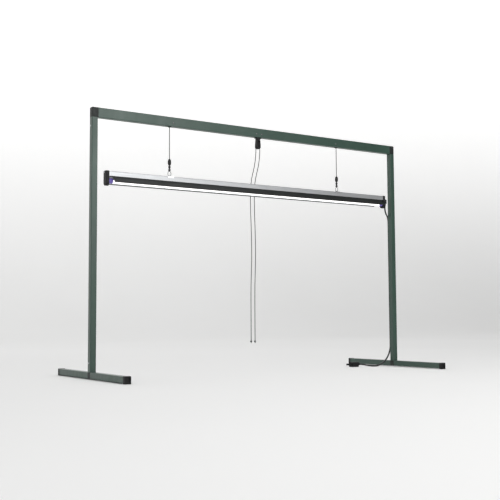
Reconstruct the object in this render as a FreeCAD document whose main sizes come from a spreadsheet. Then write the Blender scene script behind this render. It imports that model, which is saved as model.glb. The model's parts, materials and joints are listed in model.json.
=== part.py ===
import FreeCAD, Part
import math
import os
import re

import Sketcher
from FreeCAD import Placement, Rotation, Vector

# LED grow light: a free-standing tube frame with a lamp that hangs on two cords.
# Millimetres. X runs along the bar, -Y is the front, +Z is up.
# The origin is on the floor, midway between the uprights.

SIZES = (
    ("stand_width", 1270, "over the outer faces of the uprights"),
    ("stand_height", 861, "floor to the top of the bar"),
    ("foot_length", 530, "front cap to rear cap"),
    ("tube_size", 20, "side of the square tube"),
    ("tube_wall", 1.2, "wall of every stand tube"),
    ("tube_corner", 1.8, "outer corner radius of the tubes"),
    ("bar_height", 32, "height of the top bar's tube"),
    ("elbow_reach", 22, "corner elbow along the bar"),
    ("spigot_reach", 32, "how far a connector goes into a tube"),
    ("spigot_gap", 0.15, "slack between connector and tube"),
    ("snap_rise", 28, "tube end to its snap button"),
    ("snap_radius", 2.4, "snap button"),
    ("snap_proud", 1, "snap button beyond the tube"),
    ("pad_height", 2, "pad of a foot cap under the foot tube"),
    ("foot_cap_reach", 11, "foot cap along the tube"),
    ("foot_cap_face", 4, "end face of a foot cap, recess and web"),
    ("foot_cap_recess", 3, "depth of the recess in that face"),
    ("foot_cap_rim", 3, "rim round the recess"),
    ("foot_cap_skin", 0.7, "foot cap outside the tube"),
    ("foot_cap_edge", 0.8, "rounding of a foot cap's face"),
    ("fit_gap", 0.05, "slack of a close fit"),
    ("cord_radius", 1.25, "braided cord"),
    ("cord_gap", 0.1, "clearance round a cord"),
    ("drop_spacing", 708, "between the two cords that carry the lamp"),
    ("pulley_turn", 9.5, "pulley axis to the middle of the cord"),
    ("pulley_rim", 9.5, "outer radius of a pulley"),
    ("pulley_width", 6, "along its axle"),
    ("pulley_opening", 1.6, "radius of the openings in a pulley's web"),
    ("axle_radius", 1.5, "pulley axle"),
    ("axle_head", 3, "radius of an axle's head"),
    ("axle_depth", 20, "top of the bar down to the axles"),
    ("twin_gap", 3, "between the two cords where they leave the bar"),
    ("grommet_flange", 6, "flange radius of a cord grommet"),
    ("grommet_sleeve", 3.8, "sleeve radius of a cord grommet"),
    ("grommet_lip", 1.5, "flange thickness of a cord grommet"),
    ("lock_height", 40, "cord lock below the bar"),
    ("lock_width", 16.5, "cord lock at its widest"),
    ("lock_neck", 13.2, "cord lock below its flange"),
    ("lock_depth", 15, "cord lock front to back"),
    ("lock_flange_width", 23, "cord lock flange"),
    ("lock_flange_depth", 11, "cord lock flange"),
    ("lock_flange_lip", 3, "cord lock flange"),
    ("lock_neck_height", 10, "cord lock, top of the bell down to where it widens"),
    ("lock_bulge_high", 14, "cord lock, underside up to the top of its widest part"),
    ("lock_bulge_low", 5, "cord lock, underside up to the bottom of its widest part"),
    ("lock_taper", 3, "cord lock, each side at the underside"),
    ("lock_edge", 1.5, "rounding of the cord lock"),
    ("lock_screw_inset", 2.2, "screw in from the end of the lock's flange"),
    ("lock_screw_radius", 1.15, "screw of the cord lock"),
    ("lock_screw_head", 2, "head radius of that screw"),
    ("cord_slot_length", 8, "slot in the bar for both cords"),
    ("cord_slot_width", 5, "slot in the bar for both cords"),
    ("bore_floor", 0.6, "wall behind the button's bore"),
    ("plunger_rear", 2.95, "middle of the lock to the rear face of the button's plunger"),
    ("spring_wire", 0.35, "wire radius of the button's spring"),
    ("spring_radius", 3.2, "coil radius of the button's spring"),
    ("spring_turns", 3, "turns of the button's spring"),
    ("window_width", 7, "oval window low in the cord lock"),
    ("window_height", 10, "oval window low in the cord lock"),
    ("button_radius", 5, "release button of the cord lock"),
    ("button_travel", 1.8, "how far the button presses in"),
    ("button_proud", 2.5, "button beyond the front of the lock"),
    ("tail_spacing", 16.4, "between the two hanging cord tails"),
    ("tail_setback", 38, "tails behind the middle of the bar"),
    ("tail_end", 110, "cord tails' ends above the floor"),
    ("tail_drift", 4, "how far the tails drift aside half way down"),
    ("tail_drift_z", 430, "height of that drift"),
    ("tail_rest_z", 250, "below this height the tails hang straight"),
    ("knot_radius", 3, "knot at the end of a tail"),
    ("knot_height", 8.5, "knot at the end of a tail"),
    ("lamp_top", 660, "top of the lamp housing above the floor"),
    ("lamp_length", 1173, "over both end caps"),
    ("lamp_width", 20, "housing and end caps, front to back"),
    ("lamp_cap_height", 48.6, "end cap, top to bottom of its lobe"),
    ("lamp_cap_reach", 12, "end cap along the lamp"),
    ("housing_height", 16, "aluminium housing"),
    ("housing_wall", 1.2, "aluminium housing"),
    ("housing_corner", 2, "top corner radius of the housing and end caps"),
    ("housing_ledge", 4, "inward ledge along the underside of the housing"),
    ("boss_radius", 3.1, "screw channel inside the housing"),
    ("groove_depth", 0.7, "clip groove along both sides of the housing"),
    ("groove_height", 2.2, "clip groove"),
    ("lamp_cap_edge", 1, "rounding of an end cap's face"),
    ("cap_screw_radius", 1.45, "screw of an end cap"),
    ("cap_screw_head", 1.3, "height of that screw's head"),
    ("wiring_size", 13, "square wiring space in an end cap"),
    ("wiring_depth", 7, "wiring space in an end cap"),
    ("driver_x", -320, "middle of the driver board"),
    ("driver_length", 300, "driver board"),
    ("driver_width", 15, "driver board"),
    ("driver_board_thick", 1.6, "driver board"),
    ("coil_length", 20, "coil on the driver board"),
    ("coil_width", 12.5, "coil on the driver board"),
    ("coil_height", 4.9, "coil on the driver board"),
    ("can_radius", 2.45, "capacitor on the driver board"),
    ("can_length", 14, "capacitor on the driver board"),
    ("wire_radius", 0.9, "wire in the housing"),
    ("wire_spacing", 6, "between two wires"),
    ("hood_width", 64, "over both lips of the reflector"),
    ("hood_drop", 23, "housing down to the lips"),
    ("hood_length", 1130, "reflector along the lamp"),
    ("hood_lip", 2.4, "turned-down edge of the reflector"),
    ("sheet", 0.8, "sheet metal of the reflector"),
    ("led_radius", 8, "LED tube"),
    ("led_depth", 31.2, "lamp top down to the tube's axis"),
    ("led_wall", 1, "diffuser of the LED tube"),
    ("led_collar", 14, "end collar of the LED tube"),
    ("collar_radius", 8.3, "end collar of the LED tube"),
    ("board_width", 10.8, "board inside the LED tube"),
    ("board_thick", 1.1, "board inside the LED tube"),
    ("led_count", 96, "light-emitting chips"),
    ("chip_size", 2.8, "side of a chip"),
    ("chip_thick", 0.7, "thickness of a chip"),
    ("pin_radius", 1.2, "contact pin of the tube"),
    ("pin_reach", 6.6, "contact pin beyond the tube"),
    ("pin_pitch", 4.8, "between the two pins of one end"),
    ("rotor_radius", 6, "turning insert of a tube socket"),
    ("rotor_reach", 3.5, "turning insert of a tube socket"),
    ("socket_depth", 7.2, "tube socket in an end cap"),
    ("clip_length", 22, "hanger clip along the lamp"),
    ("clip_rise", 4, "lamp top up to the underside of the clip's bridge"),
    ("clip_sheet", 1, "hanger clip"),
    ("hook_reach", 0.5, "hook of the hanger clip into its groove"),
    ("bridge_width", 2.4, "bridge of the hanger clip, along the lamp"),
    ("bridge_inner", 4.4, "half of the bridge's level part, front to back"),
    ("bridge_foot", 3.6, "foot of the bridge in from the side of the lamp"),
    ("ring_wire", 0.9, "wire radius of a snap ring"),
    ("ring_slack", 0.25, "play between a snap ring and the clip's bridge"),
    ("ring_turn", 5.7, "end radius of a snap ring"),
    ("ring_height", 16.6, "snap ring, over the wire"),
    ("barrel_radius", 4, "swivel barrel"),
    ("barrel_height", 17.4, "swivel barrel"),
    ("barrel_edge", 1.1, "bevels of the swivel barrel"),
    ("barrel_groove", 1.1, "depth of the waist groove of the barrel"),
    ("barrel_wall", 1.6, "wall round the barrel's cavity"),
    ("barrel_floor", 3, "barrel's underside up to its cavity"),
    ("waist_z", 8.4, "middle of the waist groove above the barrel's underside"),
    ("waist_reach", 1.2, "half height of the waist groove"),
    ("cavity_depth", 8, "barrel's top down to its cavity"),
    ("cord_seat", 7, "how far the cord goes into the barrel"),
    ("stem_radius", 1.25, "stem of the snap ring"),
    ("stem_head", 2.2, "head radius of that stem"),
    ("stem_head_height", 1.8, "head of that stem"),
    ("bead_radius", 6, "cord bead"),
    ("bead_height", 24, "cord bead"),
    ("plug_reach", 11, "power plug beyond the lamp"),
    ("plug_width", 13, "power plug front to back"),
    ("plug_height", 17, "power plug"),
    ("plug_top", 12.5, "lamp top down to the plug"),
    ("plug_edge", 2.2, "rounding of the power plug"),
    ("prong_radius", 1.2, "prong of the power plug"),
    ("prong_reach", 3.6, "prong of the power plug"),
    ("prong_spacing", 6, "between the prongs"),
    ("relief_wall", 1, "strain relief round the cord"),
    ("relief_height", 7, "strain relief below the power plug"),
    ("mains_radius", 2.9, "power cord"),
    ("mains_x", 626, "power cord behind the right upright"),
    ("mains_y", 20, "power cord behind the right upright"),
    ("mains_turn", 80, "bend of the power cord where it meets the floor"),
    ("mains_swing", 57, "drop in which the power cord swings behind the upright"),
    ("mains_plug_x", 460, "face of the mains plug"),
    ("mains_plug_y", 60, "middle of the mains plug"),
    ("mains_plug_length", 32, "moulded body of the mains plug"),
    ("mains_plug_width", 24, "moulded body of the mains plug"),
    ("mains_plug_height", 18, "moulded body of the mains plug"),
    ("mains_plug_edge", 4, "rounding of the mains plug"),
    ("blade_reach", 17, "mains blade"),
    ("blade_width", 6.35, "mains blade"),
    ("blade_thick", 1.5, "mains blade"),
    ("blade_spacing", 12.7, "between the two mains blades"),
)

# lengths worked out from the sizes above
DERIVED = {
    "half_width": "stand_width / 2",
    "post_x": "half_width - tube_size / 2",
    "foot_top": "pad_height + tube_size",
    "bar_under": "stand_height - bar_height",
    "axle_z": "stand_height - axle_depth",
    "drop_x": "drop_spacing / 2",
    "spigot_size": "tube_size - 2 * tube_wall - 2 * spigot_gap",
    "outer_pulley_x": "drop_x - pulley_turn",
    "inner_pulley_x": "twin_gap / 2 + pulley_turn",
    "lock_under": "bar_under - lock_height",
    "button_z": "bar_under - 15",
    "window_z": "lock_under + 9",
    "lock_bend_high": "bar_under - 17",
    "lock_bend_low": "lock_under + 6",
    "lock_screw_x": "lock_flange_width / 2 - lock_screw_inset",
    "housing_under": "lamp_top - housing_height",
    "housing_end": "lamp_length / 2 - lamp_cap_reach",
    "groove_z": "lamp_top - 4.2",
    "wiring_z": "lamp_top - 14.5",
    "driver_z": "housing_under + 2.6",
    "led_z": "lamp_top - led_depth",
    "led_split": "led_z + 1.5",
    "led_end": "housing_end - 0.2",
    "shell_end": "led_end - led_collar",
    "pivot_z": "lamp_top + clip_rise",
    "ring_under": "pivot_z - ring_slack - 2 * ring_wire",
    "ring_top": "ring_under + ring_height",
    "barrel_under": "ring_top + 0.4",
    "bead_under": "barrel_under + barrel_height",
    "screw_z": "lamp_top - 4.2",
    "plug_under": "lamp_top - plug_top - plug_height",
    "plug_x": "(lamp_length + plug_reach) / 2",
    "prong_z": "plug_under + plug_height / 2",
}

DOWN = Vector(0, 0, -1)
SIDES = (("left", -1), ("right", 1))
ENDS = (("front", -1), ("rear", 1))

doc = FreeCAD.newDocument("grow_light")
sheet = doc.addObject("Spreadsheet::Sheet", "Sizes")
parts = []


def fill_sheet():
    for row, (name, value, meaning) in enumerate(SIZES, start=1):
        sheet.set(f"A{row}", name)
        sheet.set(f"B{row}", str(value))
        sheet.set(f"C{row}", meaning)
        sheet.setAlias(f"B{row}", name)
    doc.recompute()


def full(text):
    """A formula in the sheet's words, written out with the sheet's cells."""
    text = str(text)
    while re.search(r"\b(" + "|".join(DERIVED) + r")\b", text):
        text = re.sub(r"\b(" + "|".join(DERIVED) + r")\b", lambda m: f"({DERIVED[m.group()]})", text)
    words = "|".join(name for name, _, _ in SIZES)
    return re.sub(r"\b(" + words + r")\b", r"Sizes.\1", text)


def num(text):
    return float(sheet.evalExpression(full(text)))


def vec(x, y, z):
    return Vector(num(x), num(y), num(z))


def bind(item, prop, text):
    item.setExpression(prop, full(text))


def keep(item):
    """Marks an object as one of the sub-parts to write."""
    parts.append(item)
    return item


# ---- sketches and solid features ----


def new_body(name, x="0", y="0", z="0"):
    body = doc.addObject("PartDesign::Body", name)
    for letter, text in zip("xyz", (x, y, z)):
        bind(body, "Placement.Base." + letter, text)
    return body


def sketch_on(body, role, shift="0"):
    """A sketch on one of the body's origin planes, moved along the plane's normal."""
    sketch = body.newObject("Sketcher::SketchObject", body.Name + "_sketch")
    plane = next(item for item in body.Origin.OriginFeatures if item.Role == role)
    sketch.AttachmentSupport = [(plane, "")]
    sketch.MapMode = "FlatFace"
    bind(sketch, "AttachmentOffset.Base.z", shift)
    return sketch


def pin_point(sketch, geometry, point, x, y):
    for kind, text in (("DistanceX", x), ("DistanceY", y)):
        index = sketch.addConstraint(Sketcher.Constraint(kind, -1, 1, geometry, point, num(text)))
        bind(sketch, f"Constraints[{index}]", text)


def draw_outline(sketch, corners):
    """A closed outline of straight lines through corners given as formulas."""
    first = sketch.GeometryCount
    count = len(corners)
    points = [vec(x, y, 0) for x, y in corners]
    for n in range(count):
        sketch.addGeometry(Part.LineSegment(points[n], points[(n + 1) % count]))
    for n in range(count):
        sketch.addConstraint(Sketcher.Constraint("Coincident", first + n, 2, first + (n + 1) % count, 1))
    for n, (x, y) in enumerate(corners):
        pin_point(sketch, first + n, 1, x, y)


def draw_box(sketch, x, y, width, height):
    """A rectangle of the given size round the point x, y."""
    left, right = f"{x} - ({width}) / 2", f"{x} + ({width}) / 2"
    low, high = f"{y} - ({height}) / 2", f"{y} + ({height}) / 2"
    draw_outline(sketch, [(left, low), (right, low), (right, high), (left, high)])


def draw_circle(sketch, x, y, radius):
    index = sketch.addGeometry(Part.Circle(vec(x, y, 0), Vector(0, 0, 1), num(radius)))
    pin_point(sketch, index, 3, x, y)
    constraint = sketch.addConstraint(Sketcher.Constraint("Radius", index, num(radius)))
    bind(sketch, f"Constraints[{constraint}]", radius)


def mirrored(corners):
    """The corners, followed by their mirror image in the first coordinate."""
    return corners + [(f"-({x})", y) for x, y in reversed(corners)]


def extrude(body, kind, sketch, length, way=0):
    """A Pad or Pocket: way 0 is to both sides, 1 along the plane's normal, -1 against it."""
    feature = body.newObject("PartDesign::" + kind, f"{body.Name}_{kind}")
    feature.Profile = sketch
    bind(feature, "Length", length)
    if way == 0:
        feature.SideType = "Symmetric"
    else:
        feature.Reversed = (way < 0) if kind == "Pad" else (way > 0)
    return feature


def edge_test(limit):
    """A test for edges whose middle is inside the limit."""
    return lambda edge: limit(edge.CenterOfMass)


def edge_names(shape, test):
    return [f"Edge{n}" for n, edge in enumerate(shape.Edges, start=1) if test(edge)]


def along(axis, *limits):
    """A test for straight edges along an axis, whose middle is inside all the given limits."""
    direction = {"x": Vector(1, 0, 0), "y": Vector(0, 1, 0), "z": Vector(0, 0, 1)}[axis]

    def test(edge):
        if edge.Curve.TypeId != "Part::GeomLine":
            return False
        parallel = abs(edge.Curve.Direction.dot(direction)) > 0.999
        return parallel and all(limit(edge.CenterOfMass) for limit in limits)

    return test


def round_edges(body, test, radius):
    doc.recompute()
    base = body.Tip
    fillet = body.newObject("PartDesign::Fillet", body.Name + "_Fillet")
    fillet.Base = (base, edge_names(base.Shape, test))
    bind(fillet, "Radius", radius)
    body.Tip = fillet


# ---- simple solids ----


def simple(kind, name, at, axis=(0, 0, 1), **sizes):
    """A Part primitive at a point, with its own Z turned to the axis."""
    item = doc.addObject("Part::" + kind, name)
    for prop, text in sizes.items():
        bind(item, prop, text)
    item.Placement = Placement(Vector(), Rotation(Vector(0, 0, 1), Vector(*axis)))
    for letter, text in zip("xyz", at):
        bind(item, "Placement.Base." + letter, text)
    return item


def rod(name, at, axis, radius, length):
    return simple("Cylinder", name, at, axis, Radius=radius, Height=length)


def block(name, middle, size):
    low = [f"{at} - ({side}) / 2" for at, side in zip(middle, size)]
    return simple("Box", name, low, Length=size[0], Width=size[1], Height=size[2])


def join(name, *items):
    item = doc.addObject("Part::MultiFuse", name)
    item.Shapes = list(items)
    return item


def cut(name, base, *tools):
    item = doc.addObject("Part::Cut", name)
    item.Base = base
    item.Tool = tools[0] if len(tools) == 1 else join(name + "_tools", *tools)
    return item


def group(name, items):
    """Several separate solids that are kept as one sub-part."""
    item = doc.addObject("Part::Compound", name)
    item.Links = list(items)
    return item


def feature(name, shape):
    item = doc.addObject("Part::Feature", name)
    item.Shape = shape
    return item


def line(start, end):
    return Part.LineSegment(start, end).toShape()


def double_bend(start, end, way):
    """Two equal arcs that leave start and reach end in the same direction."""
    run = (end - start).dot(way)
    aside = end - start - way * run
    offset = aside.Length
    radius = (offset**2 + run**2) / (4 * offset)
    half_turn = math.asin(run / 2 / radius) / 2
    forward = way * radius * math.sin(half_turn)
    sideways = aside * (radius * (1 - math.cos(half_turn)) / offset)
    middle = (start + end) / 2
    return [
        Part.Arc(start, start + forward + sideways, middle).toShape(),
        Part.Arc(middle, end - forward - sideways, end).toShape(),
    ]


def quarter_bend(start, way, new_way, radius):
    """A quarter circle that turns from one direction into another."""
    share = math.sqrt(0.5)
    middle = start + way * radius * share + new_way * radius * (1 - share)
    return Part.Arc(start, middle, start + (way + new_way) * radius).toShape()


def pipe(edges, radius):
    """A round bar of the given radius along lines and arcs that join smoothly."""
    pieces = []
    for edge in edges:
        first, last = edge.FirstParameter, edge.LastParameter
        start = edge.valueAt(first)
        disc = Part.Face(Part.Wire(Part.makeCircle(radius, start, edge.tangentAt(first))))
        if edge.Curve.TypeId == "Part::GeomLine":
            pieces.append(disc.extrude(edge.valueAt(last) - start))
        else:
            pieces.append(disc.revolve(edge.Curve.Center, edge.Curve.Axis, math.degrees(last - first)))
    return pieces[0].multiFuse(pieces[1:]).Solids[0]


# ---- the stand ----


def make_top_bar():
    """Rectangular tube with holes for the grommets, the pulley axles and the cord lock."""
    body = new_body("top_bar")
    length = "stand_width - 2 * elbow_reach"
    middle = "stand_height - bar_height / 2"
    outside = sketch_on(body, "YZ_Plane")
    draw_box(outside, "0", middle, "tube_size", "bar_height")
    extrude(body, "Pad", outside, length)
    round_edges(body, along("x"), "tube_corner")
    inside = sketch_on(body, "YZ_Plane")
    draw_box(inside, "0", middle, "tube_size - 2 * tube_wall", "bar_height - 2 * tube_wall")
    extrude(body, "Pocket", inside, length + " + 2")
    axles = sketch_on(body, "XZ_Plane")
    for x in ("outer_pulley_x", "inner_pulley_x"):
        draw_circle(axles, x, "axle_z", "axle_radius + fit_gap")
        draw_circle(axles, f"-{x}", "axle_z", "axle_radius + fit_gap")
    extrude(body, "Pocket", axles, "tube_size + 2")
    floor = sketch_on(body, "XY_Plane", "bar_under")
    for sign in ("", "-"):
        draw_circle(floor, f"{sign}drop_x", "0", "grommet_sleeve + fit_gap")
        draw_circle(floor, f"{sign}lock_screw_x", "0", "lock_screw_radius + fit_gap")
    draw_box(floor, "0", "0", "cord_slot_length", "cord_slot_width")
    extrude(body, "Pocket", floor, "4 * tube_wall")
    return keep(body)


def make_elbow(name, side):
    """Moulded corner with a spigot into the bar and one down into the upright."""
    body = new_body(f"corner_elbow_{name}")
    corner = sketch_on(body, "XZ_Plane")
    middle = "stand_height - bar_height / 2"
    draw_box(corner, f"{side} * (half_width - elbow_reach / 2)", middle, "elbow_reach", "bar_height")
    extrude(body, "Pad", corner, "tube_size")
    outer = num("half_width") - 1
    round_edges(body, along("x"), "tube_corner")
    round_edges(body, along("z", lambda at: abs(at.x) > outer), "tube_corner")
    into_bar = sketch_on(body, "YZ_Plane", f"{side} * (half_width - elbow_reach)")
    draw_box(into_bar, "0", middle, "spigot_size", "spigot_size + bar_height - tube_size")
    extrude(body, "Pad", into_bar, "spigot_reach", -side)
    into_post = sketch_on(body, "XY_Plane", "bar_under")
    draw_box(into_post, f"{side} * post_x", "0", "spigot_size", "spigot_size")
    extrude(body, "Pad", into_post, "spigot_reach", -1)
    return keep(body)


def make_upright(name, side):
    body = new_body(f"upright_{name}")
    length = "bar_under - foot_top"
    outside = sketch_on(body, "XY_Plane", "foot_top")
    draw_box(outside, f"{side} * post_x", "0", "tube_size", "tube_size")
    extrude(body, "Pad", outside, length, 1)
    round_edges(body, along("z"), "tube_corner")
    inside = sketch_on(body, "XY_Plane", "foot_top")
    draw_box(inside, f"{side} * post_x", "0", "tube_size - 2 * tube_wall", "tube_size - 2 * tube_wall")
    extrude(body, "Pocket", inside, f"2 * ({length}) + 2")
    holes = sketch_on(body, "YZ_Plane", f"{side} * half_width")
    for z in ("foot_top + snap_rise", "bar_under - snap_rise"):
        draw_circle(holes, "0", z, "snap_radius + fit_gap")
    extrude(body, "Pocket", holes, "4 * tube_wall")
    return keep(body)


def make_foot_tee(name, side):
    """Connector of the two half feet and the upright, seen as a short square block."""
    body = new_body(f"foot_tee_{name}")
    centre = sketch_on(body, "XZ_Plane")
    draw_box(centre, f"{side} * post_x", "pad_height + tube_size / 2", "tube_size", "tube_size")
    extrude(body, "Pad", centre, "tube_size")
    round_edges(body, along("y"), "tube_corner")
    into_feet = sketch_on(body, "XZ_Plane")
    draw_box(into_feet, f"{side} * post_x", "pad_height + tube_size / 2", "spigot_size", "spigot_size")
    extrude(body, "Pad", into_feet, "tube_size + 2 * spigot_reach")
    into_post = sketch_on(body, "XY_Plane", "foot_top")
    draw_box(into_post, f"{side} * post_x", "0", "spigot_size", "spigot_size")
    extrude(body, "Pad", into_post, "spigot_reach", 1)
    return keep(body)


def make_foot_tube(name, side, end_name, end):
    body = new_body(f"foot_tube_{end_name}_{name}")
    x, z = f"{side} * post_x", "pad_height + tube_size / 2"
    length = "foot_length / 2 - tube_size / 2 - foot_cap_face"
    outside = sketch_on(body, "XZ_Plane", f"{-end} * tube_size / 2")
    draw_box(outside, x, z, "tube_size", "tube_size")
    extrude(body, "Pad", outside, length, -end)
    round_edges(body, along("y"), "tube_corner")
    inside = sketch_on(body, "XZ_Plane", f"{-end} * tube_size / 2")
    draw_box(inside, x, z, "tube_size - 2 * tube_wall", "tube_size - 2 * tube_wall")
    extrude(body, "Pocket", inside, f"2 * ({length}) + 2")
    hole = sketch_on(body, "XY_Plane", "pad_height")
    draw_circle(hole, x, f"{end} * (tube_size / 2 + snap_rise)", "snap_radius + fit_gap")
    extrude(body, "Pocket", hole, "4 * tube_wall")
    return keep(body)


def make_foot_cap(name, side, end_name, end):
    """Moulded cap over a foot tube's end; its thick underside is the pad on the floor."""
    body = new_body(f"foot_cap_{end_name}_{name}")
    x = f"{side} * post_x"
    face = f"{-end} * foot_length / 2"
    width = "tube_size + 2 * foot_cap_skin"
    height = "foot_top + foot_cap_skin"
    outside = sketch_on(body, "XZ_Plane", face)
    draw_box(outside, x, f"({height}) / 2", width, height)
    extrude(body, "Pad", outside, "foot_cap_reach", end)
    round_edges(body, along("y"), "tube_corner")
    tip = num("foot_length / 2") - 0.5
    round_edges(body, along("x", lambda at: abs(at.y) > tip), "foot_cap_edge")
    seat = sketch_on(body, "XZ_Plane", f"{-end} * (foot_length / 2 - foot_cap_reach)")
    draw_box(seat, x, "pad_height + tube_size / 2", "tube_size + 2 * fit_gap", "tube_size + 2 * fit_gap")
    extrude(body, "Pocket", seat, "2 * (foot_cap_reach - foot_cap_face)")
    recess = sketch_on(body, "XZ_Plane", face)
    inner = "tube_size - 2 * foot_cap_rim"
    draw_box(recess, x, "pad_height + tube_size / 2", inner, inner)
    extrude(body, "Pocket", recess, "2 * foot_cap_recess")
    return keep(body)


def make_snap_buttons():
    """Spring buttons of the connectors, standing in the holes of the tubes."""
    reach = "tube_wall + spigot_gap + snap_proud"
    buttons = []
    for name, side in SIDES:
        start = f"{side} * (half_width - tube_wall - spigot_gap)"
        for level, z in (("low", "foot_top + snap_rise"), ("high", "bar_under - snap_rise")):
            buttons.append(rod(f"snap_{name}_{level}", (start, "0", z), (side, 0, 0), "snap_radius", reach))
        for end_name, end in ENDS:
            y, z = f"{end} * (tube_size / 2 + snap_rise)", "pad_height + tube_wall + spigot_gap"
            at = (f"{side} * post_x", y, z)
            buttons.append(rod(f"snap_{name}_{end_name}", at, (0, 0, -1), "snap_radius", reach))
    return keep(group("snap_buttons", buttons))


# ---- pulleys and cord lock ----


def make_grommets():
    grommets = []
    for name, side in SIDES:
        x = f"{side} * drop_x"
        tag = f"grommet_{name}"
        under = "bar_under - grommet_lip"
        sleeve_length = "2 * grommet_lip + tube_wall"
        flange = rod(tag + "_flange", (x, "0", under), (0, 0, 1), "grommet_flange", "grommet_lip")
        sleeve = rod(tag + "_sleeve", (x, "0", under), (0, 0, 1), "grommet_sleeve", sleeve_length)
        at = (x, "0", under + " - 1")
        hole = rod(tag + "_hole", at, (0, 0, 1), "cord_radius + cord_gap", "6 * grommet_lip")
        grommets.append(cut(tag, join(tag + "_outside", flange, sleeve), hole))
    return keep(group("cord_grommets", grommets))


def make_pulley(name, x):
    """Grooved wheel on its axle, with four openings in its web."""
    front = "-pulley_width / 2"
    tag = f"pulley_{name}"
    wheel = rod(tag + "_wheel", (x, front, "axle_z"), (0, 1, 0), "pulley_rim", "pulley_width")
    through = "2 * pulley_width"
    radii = {"Radius1": "pulley_turn", "Radius2": "cord_radius + cord_gap"}
    groove = simple("Torus", tag + "_groove", (x, "0", "axle_z"), (0, 1, 0), **radii)
    bore_at = (x, front + " - 1", "axle_z")
    tools = [groove, rod(tag + "_bore", bore_at, (0, 1, 0), "axle_radius + fit_gap", through)]
    for n, (across, up) in enumerate(((1, 0), (0, 1), (-1, 0), (0, -1))):
        at = (f"{x} + {across} * pulley_turn / 2", front + " - 1", f"axle_z + {up} * pulley_turn / 2")
        tools.append(rod(f"{tag}_opening_{n}", at, (0, 1, 0), "pulley_opening", through))
    return keep(cut(tag, wheel, *tools))


def make_pulley_axles():
    """Rivets through the bar, each with a low round head on both faces."""
    axles = []
    for name, x in PULLEYS:
        tag = f"axle_{name}"
        shank = rod(tag + "_shank", (x, "-tube_size / 2", "axle_z"), (0, 1, 0), "axle_radius", "tube_size")
        heads = []
        for way in (-1, 1):
            at = (x, f"{way} * tube_size / 2", "axle_z")
            sizes = {"Radius1": "axle_head", "Radius2": "axle_head / 2", "Height": "axle_head / 2"}
            heads.append(simple("Cone", f"{tag}_head_{way + 1}", at, (0, way, 0), **sizes))
        axles.append(join(tag, shank, *heads))
    return keep(group("pulley_axles", axles))


def lock_path(side, high, low):
    """Middle line of one cord from the level high, through the lock, to the level low."""
    inner, outer = num(f"{side} * twin_gap / 2"), num(f"{side} * tail_spacing / 2")
    bend_start = Vector(inner, 0, num("lock_bend_high"))
    bend_end = Vector(outer, 0, num("lock_bend_low"))
    above = line(Vector(inner, 0, high), bend_start)
    below = line(bend_end, Vector(outer, 0, low))
    return [above, *double_bend(bend_start, bend_end, DOWN), below]


def make_cord_lock():
    """Bell-shaped lock under the bar: flange, neck, button bore, cord channels and window."""
    blank = new_body("cord_lock_blank")
    shape = sketch_on(blank, "XZ_Plane")
    bell = [
        ("lock_neck / 2", "bar_under"),
        ("lock_neck / 2", "bar_under - lock_neck_height"),
        ("lock_width / 2", "lock_under + lock_bulge_high"),
        ("lock_width / 2", "lock_under + lock_bulge_low"),
        ("lock_width / 2 - lock_taper", "lock_under"),
    ]
    draw_outline(shape, mirrored(bell))
    extrude(blank, "Pad", shape, "lock_depth")
    face, top = num("lock_depth / 2") - 0.1, num("bar_under") - 0.1
    rim = edge_test(lambda at: abs(at.y) > face and at.z < top)
    round_edges(blank, rim, "lock_edge")
    flange = sketch_on(blank, "XY_Plane", "bar_under")
    draw_box(flange, "0", "0", "lock_flange_width", "lock_flange_depth")
    extrude(blank, "Pad", flange, "lock_flange_lip", -1)
    holes = sketch_on(blank, "XY_Plane", "bar_under")
    for sign in ("", "-"):
        draw_circle(holes, f"{sign}lock_screw_x", "0", "lock_screw_radius + fit_gap")
    extrude(blank, "Pocket", holes, "2 * lock_flange_lip + 1")
    window = sketch_on(blank, "XZ_Plane")
    draw_box(window, "0", "window_z", "window_width", "window_height")
    extrude(blank, "Pocket", window, "lock_depth + 2")
    reach, level, rise = num("0.6 * window_width"), num("window_z"), num("0.6 * window_height")
    corner = along("y", lambda at: abs(at.x) < reach and abs(at.z - level) < rise)
    round_edges(blank, corner, "0.45 * window_width")
    front = "-lock_depth / 2 - 1"
    bore_length = "lock_depth + 1 - bore_floor"
    bore = rod("cord_lock_bore", ("0", front, "button_z"), (0, 1, 0), "button_radius + fit_gap", bore_length)
    channels = []
    for name, side in SIDES:
        path = lock_path(side, num("bar_under + 1"), num("lock_under - 1"))
        shape = pipe(path, num("cord_radius + cord_gap"))
        channels.append(feature(f"cord_channel_{name}", shape))
    return keep(cut("cord_lock_body", blank, bore, *channels))


def make_lock_button():
    """Spring plunger: the rear edge of its slot pinches both cords until it is pressed."""
    front = "-lock_depth / 2 - button_proud"
    length = f"plunger_rear - ({front})"
    plunger = rod("button_rod", ("0", front, "button_z"), (0, 1, 0), "button_radius", length)
    slot_rear = "cord_radius + cord_gap"
    slot_front = "-(cord_radius + 2 * cord_gap + button_travel)"
    middle = f"(({slot_rear}) + ({slot_front})) / 2"
    slot_size = ("twin_gap + 3 * cord_radius", f"{slot_rear} - ({slot_front})", "3 * button_radius")
    slot = block("button_slot", ("0", middle, "button_z"), slot_size)
    return keep(cut("cord_lock_button", plunger, slot))


def make_lock_spring():
    """Coil spring behind the button."""
    wire, radius = num("spring_wire"), num("spring_radius")
    start = num("plunger_rear + spring_wire + fit_gap")
    length = num("lock_depth / 2 - bore_floor - spring_wire - fit_gap") - start
    helix = Part.makeHelix(length / num("spring_turns"), length, radius)
    ring = Part.makeCircle(wire, Vector(radius, 0, 0), Vector(0, 1, 0))
    coil = Part.Wire(helix.Edges).makePipeShell([Part.Wire(ring)], True, True)
    spring = feature("cord_lock_spring", coil)
    backwards = Rotation(Vector(0, 0, 1), Vector(0, 1, 0))
    spring.Placement = Placement(Vector(0, start, num("button_z")), backwards)
    return keep(spring)


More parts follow.
